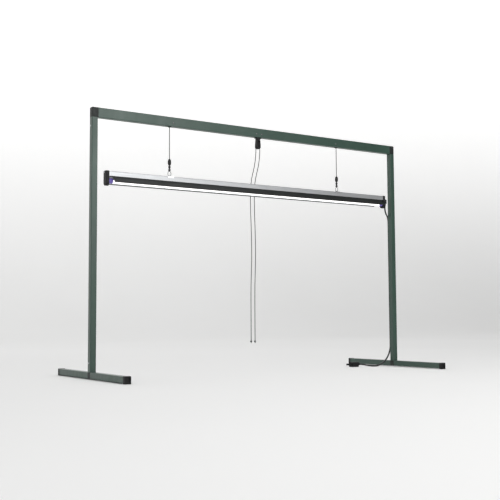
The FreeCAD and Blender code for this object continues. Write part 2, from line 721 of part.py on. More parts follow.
def make_lock_screws():
    screws = []
    for name, side in SIDES:
        at = (f"{side} * lock_screw_x", "0", "bar_under - lock_flange_lip")
        length = "lock_flange_lip + tube_wall + 0.5"
        head = rod(f"lock_screw_head_{name}", at, (0, 0, -1), "lock_screw_head", "lock_screw_radius")
        shank = rod(f"lock_screw_shank_{name}", at, (0, 0, 1), "lock_screw_radius", length)
        screws.append(join(f"lock_screw_{name}", head, shank))
    return keep(group("cord_lock_screws", screws))


# ---- cords ----


def make_cord_inside(name, side):
    """Cord inside the bar, from the lamp's side of the outer pulley over to the inner pulley."""
    turn, axle = num("pulley_turn"), num("axle_z")
    inward = Vector(-side, 0, 0)
    start = Vector(num(f"{side} * drop_x"), 0, axle)
    outer_turn = quarter_bend(start, -DOWN, inward, turn)
    run_start = start + (inward - DOWN) * turn
    run_end = Vector(num(f"{side} * inner_pulley_x"), 0, axle + turn)
    inner_turn = quarter_bend(run_end, inward, DOWN, turn)
    path = [outer_turn, line(run_start, run_end), inner_turn]
    return keep(feature(f"cord_inside_{name}", pipe(path, num("cord_radius"))))


def make_cord_drop(name, side):
    """Cord from the outer pulley down to the knot inside the swivel barrel."""
    start = "barrel_under + barrel_height - cord_seat"
    at = (f"{side} * drop_x", "0", start)
    return keep(rod(f"cord_drop_{name}", at, (0, 0, 1), "cord_radius", f"axle_z - ({start})"))


def make_cord_tail(name, side):
    """Loose end of a cord: out of the bar, through the lock, back over the lamp and down."""
    path = lock_path(side, num("axle_z"), num("lock_under"))
    x, back, drift = num(f"{side} * tail_spacing / 2"), num("tail_setback"), num("tail_drift")
    stops = [
        Vector(x, 0, num("lock_under")),
        Vector(x, back, num("led_z")),
        Vector(x + drift, back, num("tail_drift_z")),
        Vector(x, back, num("tail_rest_z")),
    ]
    for start, end in zip(stops, stops[1:]):
        path += double_bend(start, end, DOWN)
    path.append(line(stops[-1], Vector(x, back, num("tail_end"))))
    return keep(feature(f"cord_tail_{name}", pipe(path, num("cord_radius"))))


def make_tail_knots():
    """Overhand knots below the two tails, as plain beads."""
    knots = []
    for name, side in SIDES:
        at = (f"{side} * tail_spacing / 2", "tail_setback", "tail_end - knot_height / 2")
        sizes = {"Radius1": "knot_height / 2", "Radius2": "knot_radius", "Radius3": "knot_radius"}
        knots.append(simple("Ellipsoid", f"tail_knot_{name}", at, **sizes))
    return keep(group("tail_knots", knots))


def make_bead(name, side):
    x = f"{side} * drop_x"
    tag = f"cord_bead_{name}"
    sizes = {"Radius1": "bead_height / 2", "Radius2": "bead_radius", "Radius3": "bead_radius"}
    egg = simple("Ellipsoid", tag + "_egg", (x, "0", "bead_under + bead_height / 2"), **sizes)
    at = (x, "0", "bead_under - 1")
    hole = rod(tag + "_hole", at, (0, 0, 1), "cord_radius + cord_gap", "bead_height + 2")
    return keep(cut(tag, egg, hole))


def make_barrel(name, side):
    """Swivel barrel, turned about the cord: cord bore above, stem bore below, cavity between."""
    body = new_body(f"swivel_barrel_{name}", f"{side} * drop_x", "0", "barrel_under")
    half = sketch_on(body, "XZ_Plane")
    stem_bore, cord_bore = "stem_radius + fit_gap", "cord_radius + cord_gap"
    waist, cavity = "barrel_radius - barrel_groove", "barrel_radius - barrel_wall"
    corners = [
        (stem_bore, "0"),
        ("barrel_radius - barrel_edge", "0"),
        ("barrel_radius", "barrel_edge"),
        ("barrel_radius", "waist_z - waist_reach - barrel_edge"),
        (waist, "waist_z - waist_reach"),
        (waist, "waist_z + waist_reach"),
        ("barrel_radius", "waist_z + waist_reach + barrel_edge"),
        ("barrel_radius", "barrel_height - barrel_edge"),
        ("barrel_radius - barrel_edge", "barrel_height"),
        (cord_bore, "barrel_height"),
        (cord_bore, "barrel_height - cavity_depth"),
        (cavity, "barrel_height - cavity_depth - barrel_edge"),
        (cavity, "barrel_floor"),
        (stem_bore, "barrel_floor"),
    ]
    draw_outline(half, corners)
    turned = body.newObject("PartDesign::Revolution", body.Name + "_Revolution")
    turned.Profile = half
    turned.ReferenceAxis = (half, ["V_Axis"])
    turned.Angle = 360
    return keep(body)


def make_snap_ring(name, side):
    """Wire ring with a headed stem that turns in the barrel."""
    x = f"{side} * drop_x"
    tag = f"snap_ring_{name}"
    straight = "ring_height - 2 * ring_turn - 2 * ring_wire"
    low_z = "ring_under + ring_wire + ring_turn"
    high_z = f"{low_z} + {straight}"
    pieces = []
    for level, z, turn in (("low", low_z, -90), ("high", high_z, 90)):
        sizes = {"Radius1": "ring_turn", "Radius2": "ring_wire", "Angle3": "180"}
        arch = simple("Torus", f"{tag}_{level}", (x, "0", z), **sizes)
        arch.Placement.Rotation = Rotation(Vector(1, 0, 0), turn)
        pieces.append(arch)
    for way in (-1, 1):
        leg_x = f"{x} + {way} * ring_turn"
        pieces.append(rod(f"{tag}_leg_{way + 1}", (leg_x, "0", low_z), (0, 0, 1), "ring_wire", straight))
    stem_length = "barrel_under + barrel_floor + 2 * stem_head_height - (ring_top - ring_wire)"
    stem_at = (x, "0", "ring_top - ring_wire")
    pieces.append(rod(tag + "_stem", stem_at, (0, 0, 1), "stem_radius", stem_length))
    head_at = (x, "0", "barrel_under + barrel_floor + 0.2")
    pieces.append(rod(tag + "_head", head_at, (0, 0, 1), "stem_head", "stem_head_height"))
    return keep(join(tag, *pieces))


# ---- the lamp ----


def make_housing():
    """Aluminium channel, open below, with clip grooves outside and a screw channel inside."""
    body = new_body("lamp_housing")
    length = "2 * housing_end"
    half = "lamp_width / 2"
    profile = sketch_on(body, "YZ_Plane")
    wall = "housing_wall"
    corners = [
        (f"{half} - {wall}", f"lamp_top - {wall}"),
        (f"{half} - {wall}", f"housing_under + {wall}"),
        (f"{half} - housing_ledge", f"housing_under + {wall}"),
        (f"{half} - housing_ledge", "housing_under"),
        (half, "housing_under"),
        (half, "lamp_top"),
    ]
    draw_outline(profile, mirrored(corners))
    extrude(body, "Pad", profile, length)
    edge_y, top = num(half) - 0.1, num("lamp_top") - 0.1
    round_edges(body, along("x", lambda at: abs(at.y) > edge_y and at.z > top), "housing_corner")
    boss = sketch_on(body, "YZ_Plane")
    draw_circle(boss, "0", "screw_z", "boss_radius")
    extrude(body, "Pad", boss, length)
    channel = sketch_on(body, "YZ_Plane")
    draw_circle(channel, "0", "screw_z", "cap_screw_radius + fit_gap")
    for sign in ("", "-"):
        draw_box(channel, f"{sign}{half}", "groove_z", "2 * groove_depth", "groove_height")
    extrude(body, "Pocket", channel, length + " + 2")
    return keep(body)


def make_hood():
    """Folded sheet reflector: flat under the housing, two sloping wings and turned-down lips."""
    body = new_body("reflector_hood")
    profile = sketch_on(body, "YZ_Plane")
    outer, half = "hood_width / 2", "lamp_width / 2"
    lip_low = "housing_under - hood_drop"
    corners = [
        (half, "housing_under"),
        (outer, f"{lip_low} + hood_lip"),
        (outer, lip_low),
        (f"{outer} - sheet", lip_low),
        (f"{outer} - sheet", f"{lip_low} + hood_lip - 0.4 * sheet"),
        (f"{half} - 0.4 * sheet", "housing_under - sheet"),
    ]
    draw_outline(profile, mirrored(corners))
    extrude(body, "Pad", profile, "hood_length")
    return keep(body)


def make_lamp_cap(name, side):
    """Moulded end cap with a round lobe below, which holds one tube socket."""
    body = new_body(f"lamp_end_cap_{name}")
    low = "lamp_top + 1 - lamp_cap_height"
    outline = sketch_on(body, "YZ_Plane", f"{side} * housing_end")
    half = "lamp_width / 2"
    draw_outline(outline, mirrored([(half, low), (half, "lamp_top + 1")]))
    extrude(body, "Pad", outline, "lamp_cap_reach", side)
    middle = num("housing_under")
    round_edges(body, along("x", lambda at: at.z < middle), "lamp_width / 2 - 0.1")
    round_edges(body, along("x", lambda at: at.z > middle), "housing_corner")
    face = num("lamp_length / 2") - 0.1
    round_edges(body, edge_test(lambda at: abs(at.x) > face), "lamp_cap_edge")
    socket = sketch_on(body, "YZ_Plane", f"{side} * housing_end")
    draw_circle(socket, "0", "led_z", "rotor_radius + fit_gap")
    extrude(body, "Pocket", socket, "2 * socket_depth")
    slot = sketch_on(body, "YZ_Plane", f"{side} * housing_end")
    draw_box(slot, "0", "led_z - lamp_width / 2", "2 * pin_radius + 0.8", "lamp_width")
    extrude(body, "Pocket", slot, "2 * socket_depth")
    wiring = sketch_on(body, "YZ_Plane", f"{side} * housing_end")
    draw_box(wiring, "0", "wiring_z", "wiring_size", "wiring_size")
    extrude(body, "Pocket", wiring, "2 * wiring_depth")
    screw = sketch_on(body, "YZ_Plane", f"{side} * housing_end")
    draw_circle(screw, "0", "screw_z", "cap_screw_radius + 2 * fit_gap")
    extrude(body, "Pocket", screw, "4 * lamp_cap_reach")
    if side > 0:
        inlet = sketch_on(body, "YZ_Plane", f"{side} * lamp_length / 2")
        for way in (-1, 1):
            draw_circle(inlet, f"{way} * prong_spacing / 2", "prong_z", "prong_radius + cord_gap")
        extrude(body, "Pocket", inlet, "2 * prong_reach + 1")
    return keep(body)


def make_cap_screws():
    screws = []
    for name, side in SIDES:
        at = (f"{side} * lamp_length / 2", "0", "screw_z")
        wide, narrow = "2 * cap_screw_radius", "1.3 * cap_screw_radius"
        sizes = {"Radius1": wide, "Radius2": narrow, "Height": "cap_screw_head"}
        head = simple("Cone", f"cap_screw_head_{name}", at, (side, 0, 0), **sizes)
        length = "2 * lamp_cap_reach - 3"
        shank = rod(f"cap_screw_shank_{name}", at, (-side, 0, 0), "cap_screw_radius", length)
        screws.append(join(f"cap_screw_{name}", head, shank))
    return keep(group("lamp_cap_screws", screws))


def make_hanger_clip(name, side):
    """Spring strap over the housing, hooked in its grooves, with a narrow bridge for the ring."""
    body = new_body(f"hanger_clip_{name}", f"{side} * drop_x")
    half = "lamp_width / 2"
    strap = sketch_on(body, "YZ_Plane")
    corners = [
        (f"{half} + fit_gap", "lamp_top + fit_gap"),
        (f"{half} + fit_gap", "groove_z + 0.45 * groove_height"),
        (f"{half} - hook_reach", "groove_z + 0.3 * groove_height"),
        (f"{half} - hook_reach", "groove_z - 0.35 * groove_height"),
        (f"{half} + clip_sheet", "groove_z - 0.7 * groove_height"),
        (f"{half} + clip_sheet", "lamp_top + clip_sheet"),
    ]
    draw_outline(strap, mirrored(corners))
    extrude(body, "Pad", strap, "clip_length")
    bridge = sketch_on(body, "YZ_Plane")
    arch = [
        ("bridge_inner", "lamp_top + clip_rise"),
        (f"{half} - bridge_foot", "lamp_top + 0.8 * clip_sheet"),
        (f"{half} - bridge_foot + 1.4 * clip_sheet", "lamp_top + 0.8 * clip_sheet"),
        ("bridge_inner + 0.8 * clip_sheet", "lamp_top + clip_rise + clip_sheet"),
    ]
    draw_outline(bridge, mirrored(arch))
    extrude(body, "Pad", bridge, "bridge_width")
    return keep(body)


def make_driver():
    """Driver board in the housing, its tall components, and the wires to both sockets."""
    size = ("driver_length", "driver_width", "driver_board_thick")
    keep(block("driver_board", ("driver_x", "0", "driver_z"), size))
    base = "driver_z + driver_board_thick / 2 + fit_gap"
    components = []
    for n, place in enumerate((-0.4, -0.1, 0.24)):
        middle = (f"driver_x + {place} * driver_length", "0", f"{base} + coil_height / 2")
        components.append(block(f"driver_coil_{n}", middle, ("coil_length", "coil_width", "coil_height")))
    for n, place in enumerate((-0.3, 0.07, 0.35)):
        at = (f"driver_x + {place} * driver_length", "0", f"{base} + can_radius + fit_gap")
        components.append(rod(f"driver_can_{n}", at, (1, 0, 0), "can_radius", "can_length"))
    keep(group("driver_parts", components))
    wires = []
    for name, side in SIDES:
        at_x = f"{side} * housing_end"
        length = f"housing_end - {side} * driver_x - driver_length / 2 - 1"
        for n, y in enumerate(("-wire_spacing / 2", "wire_spacing / 2")):
            at = (at_x, y, "driver_z")
            wires.append(rod(f"wire_{name}_{n}", at, (-side, 0, 0), "wire_radius", length))
    keep(group("driver_wires", wires))


def make_lamp_plug():
    """Right-angle plug on the right end cap: prongs into the cap, strain relief below."""
    body = new_body("lamp_plug")
    shape = sketch_on(body, "YZ_Plane", "lamp_length / 2")
    draw_box(shape, "0", "prong_z", "plug_width", "plug_height")
    extrude(body, "Pad", shape, "plug_reach", 1)
    face = num("lamp_length / 2") + 0.1
    round_edges(body, edge_test(lambda at: at.x > face), "plug_edge")
    prongs = sketch_on(body, "YZ_Plane", "lamp_length / 2")
    for way in (-1, 1):
        draw_circle(prongs, f"{way} * prong_spacing / 2", "prong_z", "prong_radius")
    extrude(body, "Pad", prongs, "prong_reach", -1)
    relief = sketch_on(body, "XY_Plane", "plug_under + relief_wall")
    draw_circle(relief, "plug_x", "0", "mains_radius + relief_wall")
    extrude(body, "Pad", relief, "relief_height + relief_wall", -1)
    bore = sketch_on(body, "XY_Plane", "plug_under - relief_height")
    draw_circle(bore, "plug_x", "0", "mains_radius + fit_gap")
    extrude(body, "Pocket", bore, "2 * (relief_height - 1)")
    return keep(body)


def make_power_cord():
    """From the lamp plug behind the right upright, down it and out over the floor."""
    left = Vector(-1, 0, 0)
    x, y, turn, floor_z = num("mains_x"), num("mains_y"), num("mains_turn"), num("mains_radius + 0.1")
    top = vec("plug_x", "0", "plug_under - 1.2")
    relief = top + DOWN * num("1.7 * relief_height")
    behind = Vector(x, y, relief.z - num("mains_swing"))
    low = Vector(x, y, floor_z + turn)
    landing = Vector(x - turn, y, floor_z)
    end = vec("mains_plug_x + mains_plug_length + 0.2", "mains_plug_y", "mains_plug_height / 2")
    path = [
        line(top, relief),
        *double_bend(relief, behind, DOWN),
        line(behind, low),
        quarter_bend(low, DOWN, left, turn),
        *double_bend(landing, end, left),
    ]
    return keep(feature("power_cord", pipe(path, num("mains_radius"))))


def make_mains_plug():
    """Moulded plug with two flat blades, lying on the floor behind the right upright."""
    body = new_body("mains_plug")
    shape = sketch_on(body, "YZ_Plane", "mains_plug_x")
    middle = "mains_plug_height / 2"
    draw_box(shape, "mains_plug_y", middle, "mains_plug_width", "mains_plug_height")
    extrude(body, "Pad", shape, "mains_plug_length", 1)
    front = num("mains_plug_x") + 0.1
    round_edges(body, edge_test(lambda at: at.x > front), "mains_plug_edge")
    blades = sketch_on(body, "YZ_Plane", "mains_plug_x")
    for way in (-1, 1):
        draw_box(blades, f"mains_plug_y + {way} * blade_spacing / 2", middle, "blade_thick", "blade_width")
    extrude(body, "Pad", blades, "blade_reach", -1)
    return keep(body)


# ---- the LED tube ----


def make_tube():
    """Half aluminium, half diffuser, with a board between them."""
    axis, start, length = (1, 0, 0), "-shell_end", "2 * shell_end"
    whole = ("2 * lamp_length", "4 * led_radius", "2 * led_radius")
    high_block = block("lens_above", ("0", "0", "led_split + led_radius"), whole)
    low_block = block("sink_below", ("0", "0", "led_split - led_radius"), whole)

    lens = rod("lens_outside", (start, "0", "led_z"), axis, "led_radius", length)
    inside_at, inside_length = (start + " - 1", "0", "led_z"), f"{length} + 2"
    lens_inside = rod("lens_inside", inside_at, axis, "led_radius - led_wall", inside_length)
    keep(cut("tube_lens", lens, lens_inside, high_block))

    sink = rod("sink_outside", (start, "0", "led_z"), axis, "led_radius", length)
    trough_size = (length, "board_width + 4 * fit_gap", "2 * (board_thick + fit_gap)")
    trough = block("sink_trough", ("0", "0", "led_split"), trough_size)
    keep(cut("tube_heat_sink", sink, low_block, trough))

    board_middle = ("0", "0", "led_split + board_thick / 2")
    keep(block("tube_board", board_middle, (length, "board_width", "board_thick")))


def make_chips():
    """The light-emitting chips under the tube's board."""
    count = int(num("led_count"))
    start, pitch = num("-shell_end"), num("2 * shell_end") / count
    chip, thick = num("chip_size"), num("chip_thick")
    corner = Vector(start + pitch / 2 - chip / 2, -chip / 2, num("led_split") - thick)
    step = Vector(pitch, 0, 0)
    chips = [Part.makeBox(chip, chip, thick, corner + step * n) for n in range(count)]
    keep(feature("led_chips", Part.makeCompound(chips)))


def make_tube_ends():
    """End collars and contact pins of the tube, and the socket inserts that turn with it."""
    collars, pins, rotors = [], [], []
    for name, side in SIDES:
        way = (side, 0, 0)
        at = (f"{side} * shell_end", "0", "led_z")
        collars.append(rod(f"collar_{name}", at, way, "collar_radius", "led_collar"))
        rotor_at = (f"{side} * (led_end + 2 * cord_gap + 2 * fit_gap)", "0", "led_z")
        rotor = rod(f"rotor_{name}_disc", rotor_at, way, "rotor_radius", "rotor_reach")
        holes = []
        for up in (-1, 1):
            pin_z = f"led_z + {up} * pin_pitch / 2"
            tag = f"{name}_{up + 1}"
            pin_at = (f"{side} * led_end", "0", pin_z)
            pins.append(rod(f"pin_{tag}", pin_at, way, "pin_radius", "pin_reach"))
            holes.append(rod(f"pin_hole_{tag}", pin_at, way, "pin_radius + fit_gap", "pin_reach"))
        rotors.append(cut(f"rotor_{name}", rotor, *holes))
    keep(group("tube_collars", collars))
    keep(group("tube_pins", pins))
    keep(group("socket_rotors", rotors))


PULLEYS = (
    ("outer_left", "-outer_pulley_x"),
    ("inner_left", "-inner_pulley_x"),
    ("inner_right", "inner_pulley_x"),
    ("outer_right", "outer_pulley_x"),
)


def make_all():
    make_top_bar()
    for name, side in SIDES:
        make_elbow(name, side)
        make_upright(name, side)
        make_foot_tee(name, side)
        for end_name, end in ENDS:
            make_foot_tube(name, side, end_name, end)
            make_foot_cap(name, side, end_name, end)
        make_cord_inside(name, side)
        make_cord_drop(name, side)
        make_cord_tail(name, side)
        make_bead(name, side)
        make_barrel(name, side)
        make_snap_ring(name, side)
        make_lamp_cap(name, side)
        make_hanger_clip(name, side)
    for name, x in PULLEYS:
        make_pulley(name, x)
    make_pulley_axles()
    make_snap_buttons()
    make_grommets()
    make_cord_lock()
    make_lock_button()
    make_lock_spring()
    make_lock_screws()
    make_tail_knots()
    make_housing()
    make_hood()
    make_cap_screws()
    make_driver()
    make_lamp_plug()
    make_power_cord()
    make_mains_plug()
    make_tube()
    make_chips()
    make_tube_ends()


def check_all():
    doc.recompute()
    for item in doc.Objects:
        if "Invalid" in item.State or "Error" in item.State:
            raise RuntimeError(f"{item.Label} did not recompute: {item.State}")
    for part in parts:
        if part.Shape.isNull() or not part.Shape.isValid() or not part.Shape.Solids:
            raise RuntimeError(f"{part.Label} is not a valid solid")


def write_all():
    os.makedirs("parts", exist_ok=True)
    for part in parts:
        part.Shape.exportStep(f"parts/{part.Label}.step")


fill_sheet()
make_all()
check_all()
write_all()
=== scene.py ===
import json
import math

import bmesh
import bpy
import numpy as np
from mathutils import Matrix, Vector


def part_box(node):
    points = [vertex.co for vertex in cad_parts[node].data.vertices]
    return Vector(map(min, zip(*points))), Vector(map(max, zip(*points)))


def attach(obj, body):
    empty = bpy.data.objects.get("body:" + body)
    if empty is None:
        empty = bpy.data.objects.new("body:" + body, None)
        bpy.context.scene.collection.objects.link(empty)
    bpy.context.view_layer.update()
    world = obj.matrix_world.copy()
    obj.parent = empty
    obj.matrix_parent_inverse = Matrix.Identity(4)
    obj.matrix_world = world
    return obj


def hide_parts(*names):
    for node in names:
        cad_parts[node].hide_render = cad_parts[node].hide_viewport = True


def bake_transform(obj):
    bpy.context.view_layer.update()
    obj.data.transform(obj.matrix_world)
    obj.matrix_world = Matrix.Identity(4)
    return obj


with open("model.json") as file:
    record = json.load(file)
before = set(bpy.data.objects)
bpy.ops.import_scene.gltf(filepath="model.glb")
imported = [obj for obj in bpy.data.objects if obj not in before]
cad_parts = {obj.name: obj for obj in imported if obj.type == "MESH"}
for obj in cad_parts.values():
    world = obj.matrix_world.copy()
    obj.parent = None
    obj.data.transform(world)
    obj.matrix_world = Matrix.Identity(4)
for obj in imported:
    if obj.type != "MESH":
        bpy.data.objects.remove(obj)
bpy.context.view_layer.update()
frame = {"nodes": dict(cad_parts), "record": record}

# LED grow light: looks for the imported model. Metres, +Z up, -Y is the front.

MM = 0.001
TINY = 1e-6
MERGE_DISTANCE = 1e-7
SHARP_ANGLE = math.radians(38)
CORD_RING_STEP = 0.7 * MM
JACKET_RADIUS = 2.9 * MM
UP, RIGHT, BACK = Vector((0, 0, 1)), Vector((1, 0, 0)), Vector((0, 1, 0))
SIDES = (("left", -1), ("right", 1))


# ---------------------------------------------------------------- sizes from the frame


def centre(node):
    low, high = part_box(node)
    return (low + high) / 2


def size(node):
    low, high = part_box(node)
    return high - low


def cord_radius():
    return size("cord_drop_left").x / 2


def cord_bore():
    """Radius of a hole that the lamp's cord runs through."""
    return cord_radius() + 0.15 * MM


def middle_line(node, levels):
    """The middle of an upright CAD cord at each height, from where its edges cross that height."""
    mesh = frame["nodes"][node].data
    points = np.array([v.co for v in mesh.vertices])
    edges = np.array([e.vertices for e in mesh.edges])
    a, b = points[edges[:, 0]], points[edges[:, 1]]
    result = []
    for level in levels:
        crossing = (a[:, 2] - level) * (b[:, 2] - level) < 0
        p, q = a[crossing], b[crossing]
        share = ((level - p[:, 2]) / (q[:, 2] - p[:, 2]))[:, None]
        met = p + share * (q - p)
        middle = (met.min(0) + met.max(0)) / 2
        result.append(Vector((middle[0], middle[1], level)))
    return result


def levels_between(high, low, step):
    """Heights from high to low, both included, about a step apart."""
    count = max(2, round(abs(high - low) / step))
    return [high + (low - high) * n / count for n in range(count + 1)]


# ---------------------------------------------------------------- geometry tools


def new_piece(name, shape, body, finish):
    """A mesh piece that rides on a body; body None leaves it unattached."""
    vertices, faces = shape
    mesh = bpy.data.meshes.new(name)
    mesh.from_pydata([tuple(v) for v in vertices], [], faces)
    return finish_piece(name, mesh, body, finish)


def finish_piece(name, mesh, body, finish):
    """Cleans the mesh, shades it smooth up to its sharp edges and gives it its material."""
    shell = bmesh.new()
    shell.from_mesh(mesh)
    bmesh.ops.remove_doubles(shell, verts=shell.verts, dist=MERGE_DISTANCE)
    bmesh.ops.recalc_face_normals(shell, faces=shell.faces)
    shell.to_mesh(mesh)
    shell.free()
    mesh.polygons.foreach_set("use_smooth", [True] * len(mesh.polygons))
    mesh.materials.clear()
    mesh.materials.append(materials[finish])
    piece = bpy.data.objects.new(name, mesh)
    bpy.context.scene.collection.objects.link(piece)
    mesh.set_sharp_from_angle(angle=SHARP_ANGLE)
    if body:
        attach(piece, body)
    return piece


def skin(loops, closed=False):
    """Vertices and quads between loops of equal length; open ends get a flat cap."""
    count = len(loops[0])
    vertices = [point for loop in loops for point in loop]
    faces = []
    last = len(loops) if closed else len(loops) - 1
    for n in range(last):
        here, there = n * count, (n + 1) % len(loops) * count
        for k in range(count):
            after = (k + 1) % count
            faces.append((here + k, here + after, there + after, there + k))
    if not closed:
        faces.append(tuple(range(count)))
        faces.append(tuple(range(len(vertices) - 1, len(vertices) - 1 - count, -1)))
    return vertices, faces


def crosswise_along(path, closed=False):
    """Two directions across the path at each of its points, turning as little as possible."""
    count = len(path)
    result = []
    side = None
    for n in range(count):
        before = path[n - 1] if n or closed else path[0]
        after = path[(n + 1) % count] if n < count - 1 or closed else path[-1]
        way = (after - before).normalized()
        if side is None:
            side = way.orthogonal().normalized()
        side = (side - side.dot(way) * way).normalized()
        result.append((side, way.cross(side)))
    return result


def sweep(path, radius, sides, relief=None, closed=False):
    """A round bar along the path. relief(length, angle) is added to its radius."""
    loops = []
    travelled = 0.0
    for n, (point, (side, other)) in enumerate(zip(path, crosswise_along(path, closed))):
        if n:
            travelled += (point - path[n - 1]).length
        loop = []
        for k in range(sides):
            angle = 2 * math.pi * k / sides
            reach = radius + (relief(travelled, angle) if relief else 0)
            loop.append(point + reach * (math.cos(angle) * side + math.sin(angle) * other))
        loops.append(loop)
    return skin(loops, closed)


def axes_of(axis):
    """The axis at length 1 and two directions square to it."""
    way = Vector(axis).normalized()
    side = way.orthogonal().normalized()
    return way, side, way.cross(side)


def circle(middle, side, other, radius, count):
    points = []
    for k in range(count):
        angle = 2 * math.pi * k / count
        points.append(middle + radius * (math.cos(angle) * side + math.sin(angle) * other))
    return points


def lathe(profile, origin, axis, sides=40):
    """A solid of revolution: the profile is (radius, height) pairs along the axis."""
    way, side, other = axes_of(axis)
    loops = []
    for radius, height in profile:
        loops.append(circle(origin + height * way, side, other, max(radius, TINY), sides))
    return skin(loops)


def lathe_ring(profile, origin, axis, sides=40):
    """A ring of revolution from a closed profile, such as a grommet."""
    vertices, faces = lathe(profile + [profile[0]], origin, axis, sides)
    return vertices, faces[:-2]


def in_mm(*pairs):
    """A lathe profile that is written in millimetres."""
    return [(radius * MM, height * MM) for radius, height in pairs]


def join_meshes(parts):
    """One list of vertices and faces from several."""
    vertices, faces = [], []
    for some_vertices, some_faces in parts:
        start = len(vertices)
        vertices += some_vertices
        faces += [tuple(start + index for index in face) for face in some_faces]
    return vertices, faces


# ---------------------------------------------------------------- material tools


def is_socket(value):
    return isinstance(value, bpy.types.NodeSocket)


class Shader:
    """A material under construction: nodes are made by type and wired by name."""

    def __init__(self, name):
        self.material = bpy.data.materials.new(name)
        self.material.use_nodes = True
        self.tree = self.material.node_tree
        self.base = self.tree.nodes["Principled BSDF"]
        self.place = self.node("ShaderNodeTexCoord").outputs["Object"]

    def node(self, kind, **inputs):
        item = self.tree.nodes.new(kind)
        for key, value in inputs.items():
            self.feed(item.inputs[key.replace("_", " ")], value)
        return item

    def feed(self, socket, value):
        if is_socket(value):
            self.tree.links.new(value, socket)
        else:
            socket.default_value = value

    def feed_colour(self, socket, value):
        self.feed(socket, value if is_socket(value) else (*value, 1))

    def math(self, operation, a, b, clamp=False):
        item = self.tree.nodes.new("ShaderNodeMath")
        item.operation = operation
        item.use_clamp = clamp
        self.feed(item.inputs[0], a)
        self.feed(item.inputs[1], b)
        return item.outputs[0]

    def stretched(self, x, y, z):
        """The object's own coordinates, scaled along each axis."""
        return self.node("ShaderNodeMapping", Vector=self.place, Scale=(x, y, z)).outputs["Vector"]

    def noise(self, scale, detail, roughness=0.5, vector=None):
        texture = self.node(
            "ShaderNodeTexNoise",
            Vector=vector or self.place, Scale=scale, Detail=detail, Roughness=roughness,
        )
        return texture.outputs["Fac"]

    def ramp(self, value, *stops):
        """Colour stops (position, colour) over a value; a plain number is a grey."""
        item = self.tree.nodes.new("ShaderNodeValToRGB")
        elements = item.color_ramp.elements
        elements.remove(elements[0])
        for n, (position, colour) in enumerate(stops):
            colour = (colour,) * 3 if isinstance(colour, (int, float)) else colour
            element = elements[0] if n == 0 else elements.new(position)
            element.position = position
            element.color = (*colour, 1)
        self.feed(item.inputs["Fac"], value)
        return item.outputs["Color"]

    def spread(self, value, low, high, start=0.3, stop=0.7):
        """Low up to the start, high from the stop on, and a blend of them in between."""
        return self.ramp(value, (start, low), (stop, high))

    def mix(self, share, a, b):
        item = self.tree.nodes.new("ShaderNodeMix")
        item.data_type = "RGBA"
        colour_a, colour_b, colour_out = item.inputs[6], item.inputs[7], item.outputs[2]
        self.feed(item.inputs[0], share)
        self.feed_colour(colour_a, a)
        self.feed_colour(colour_b, b)
        return colour_out

    def edge_mask(self, radius):
        """About 1 near sharp edges and 0 on flats: how far a rounded normal leaves the true one."""
        bevel = self.node("ShaderNodeBevel", Radius=radius)
        bevel.samples = 4
        normal = self.node("ShaderNodeNewGeometry").outputs["Normal"]
        dot = self.tree.nodes.new("ShaderNodeVectorMath")
        dot.operation = "DOT_PRODUCT"
        self.feed(dot.inputs[0], bevel.outputs["Normal"])
        self.feed(dot.inputs[1], normal)
        away = self.math("SUBTRACT", 1.0, dot.outputs["Value"])
        return self.math("MULTIPLY", away, 6.0, clamp=True)

    def bump(self, height, distance, strength):
        item = self.node("ShaderNodeBump", Height=height, Distance=distance, Strength=strength)
        return item.outputs["Normal"]

    def done(self, colour, roughness, normal, **others):
        self.feed_colour(self.base.inputs["Base Color"], colour)
        self.feed(self.base.inputs["Roughness"], roughness)
        self.feed(self.base.inputs["Normal"], normal)
        for key, value in others.items():
            self.feed(self.base.inputs[key.replace("_", " ")], value)
        return self.material


# ---------------------------------------------------------------- materials
# noise(scale, detail, roughness, vector), bump(height, distance, strength)


def powder_coat():
    """Hunter-green powder coat: fine orange peel, faint clouding, scuffs and lighter rubbed edges."""
    shader = Shader("powder_coat_green")
    deep, pale = (0.012, 0.043, 0.028), (0.018, 0.057, 0.038)
    base = shader.spread(shader.noise(7, 4), deep, pale, stop=0.72)
    speckles = shader.math("MULTIPLY", shader.noise(1400, 2), 0.35)
    speckled = shader.mix(speckles, base, (0.030, 0.068, 0.050))
    patches = shader.spread(shader.noise(60, 5), 0.0, 0.8, start=0.45)
    rubbed = shader.math("MULTIPLY", shader.edge_mask(1.2 * MM), patches)
    colour = shader.mix(rubbed, speckled, (0.16, 0.19, 0.175))
    scuffs = shader.noise(1, 6, 0.7, shader.stretched(40, 40, 6))
    roughness = shader.spread(scuffs, 0.34, 0.5, start=0.35, stop=0.65)
    peel = shader.bump(shader.noise(520, 3, 0.6), 0.12 * MM, 0.55)
    return shader.done(colour, roughness, peel, Coat_Weight=0.3, Coat_Roughness=0.3)


def moulded_plastic(name, dark, light, grain=900, rough=(0.45, 0.6), wear=0.04, gloss=0.3):
    """Injection-moulded plastic: spark-eroded grain, faint flow clouding, lighter rubbed edges."""
    shader = Shader(name)
    base = shader.spread(shader.noise(30, 4), dark, light, stop=0.75)
    worn = shader.math("MULTIPLY", shader.edge_mask(0.7 * MM), 4 * wear)
    colour = shader.mix(worn, base, tuple(min(1, c + wear) for c in light))
    roughness = shader.spread(shader.noise(70, 5, 0.6), *rough, start=0.35)
    texture = shader.bump(shader.noise(grain, 2, 0.6), 0.06 * MM, 0.6)
    return shader.done(colour, roughness, texture, Specular_IOR_Level=gloss)


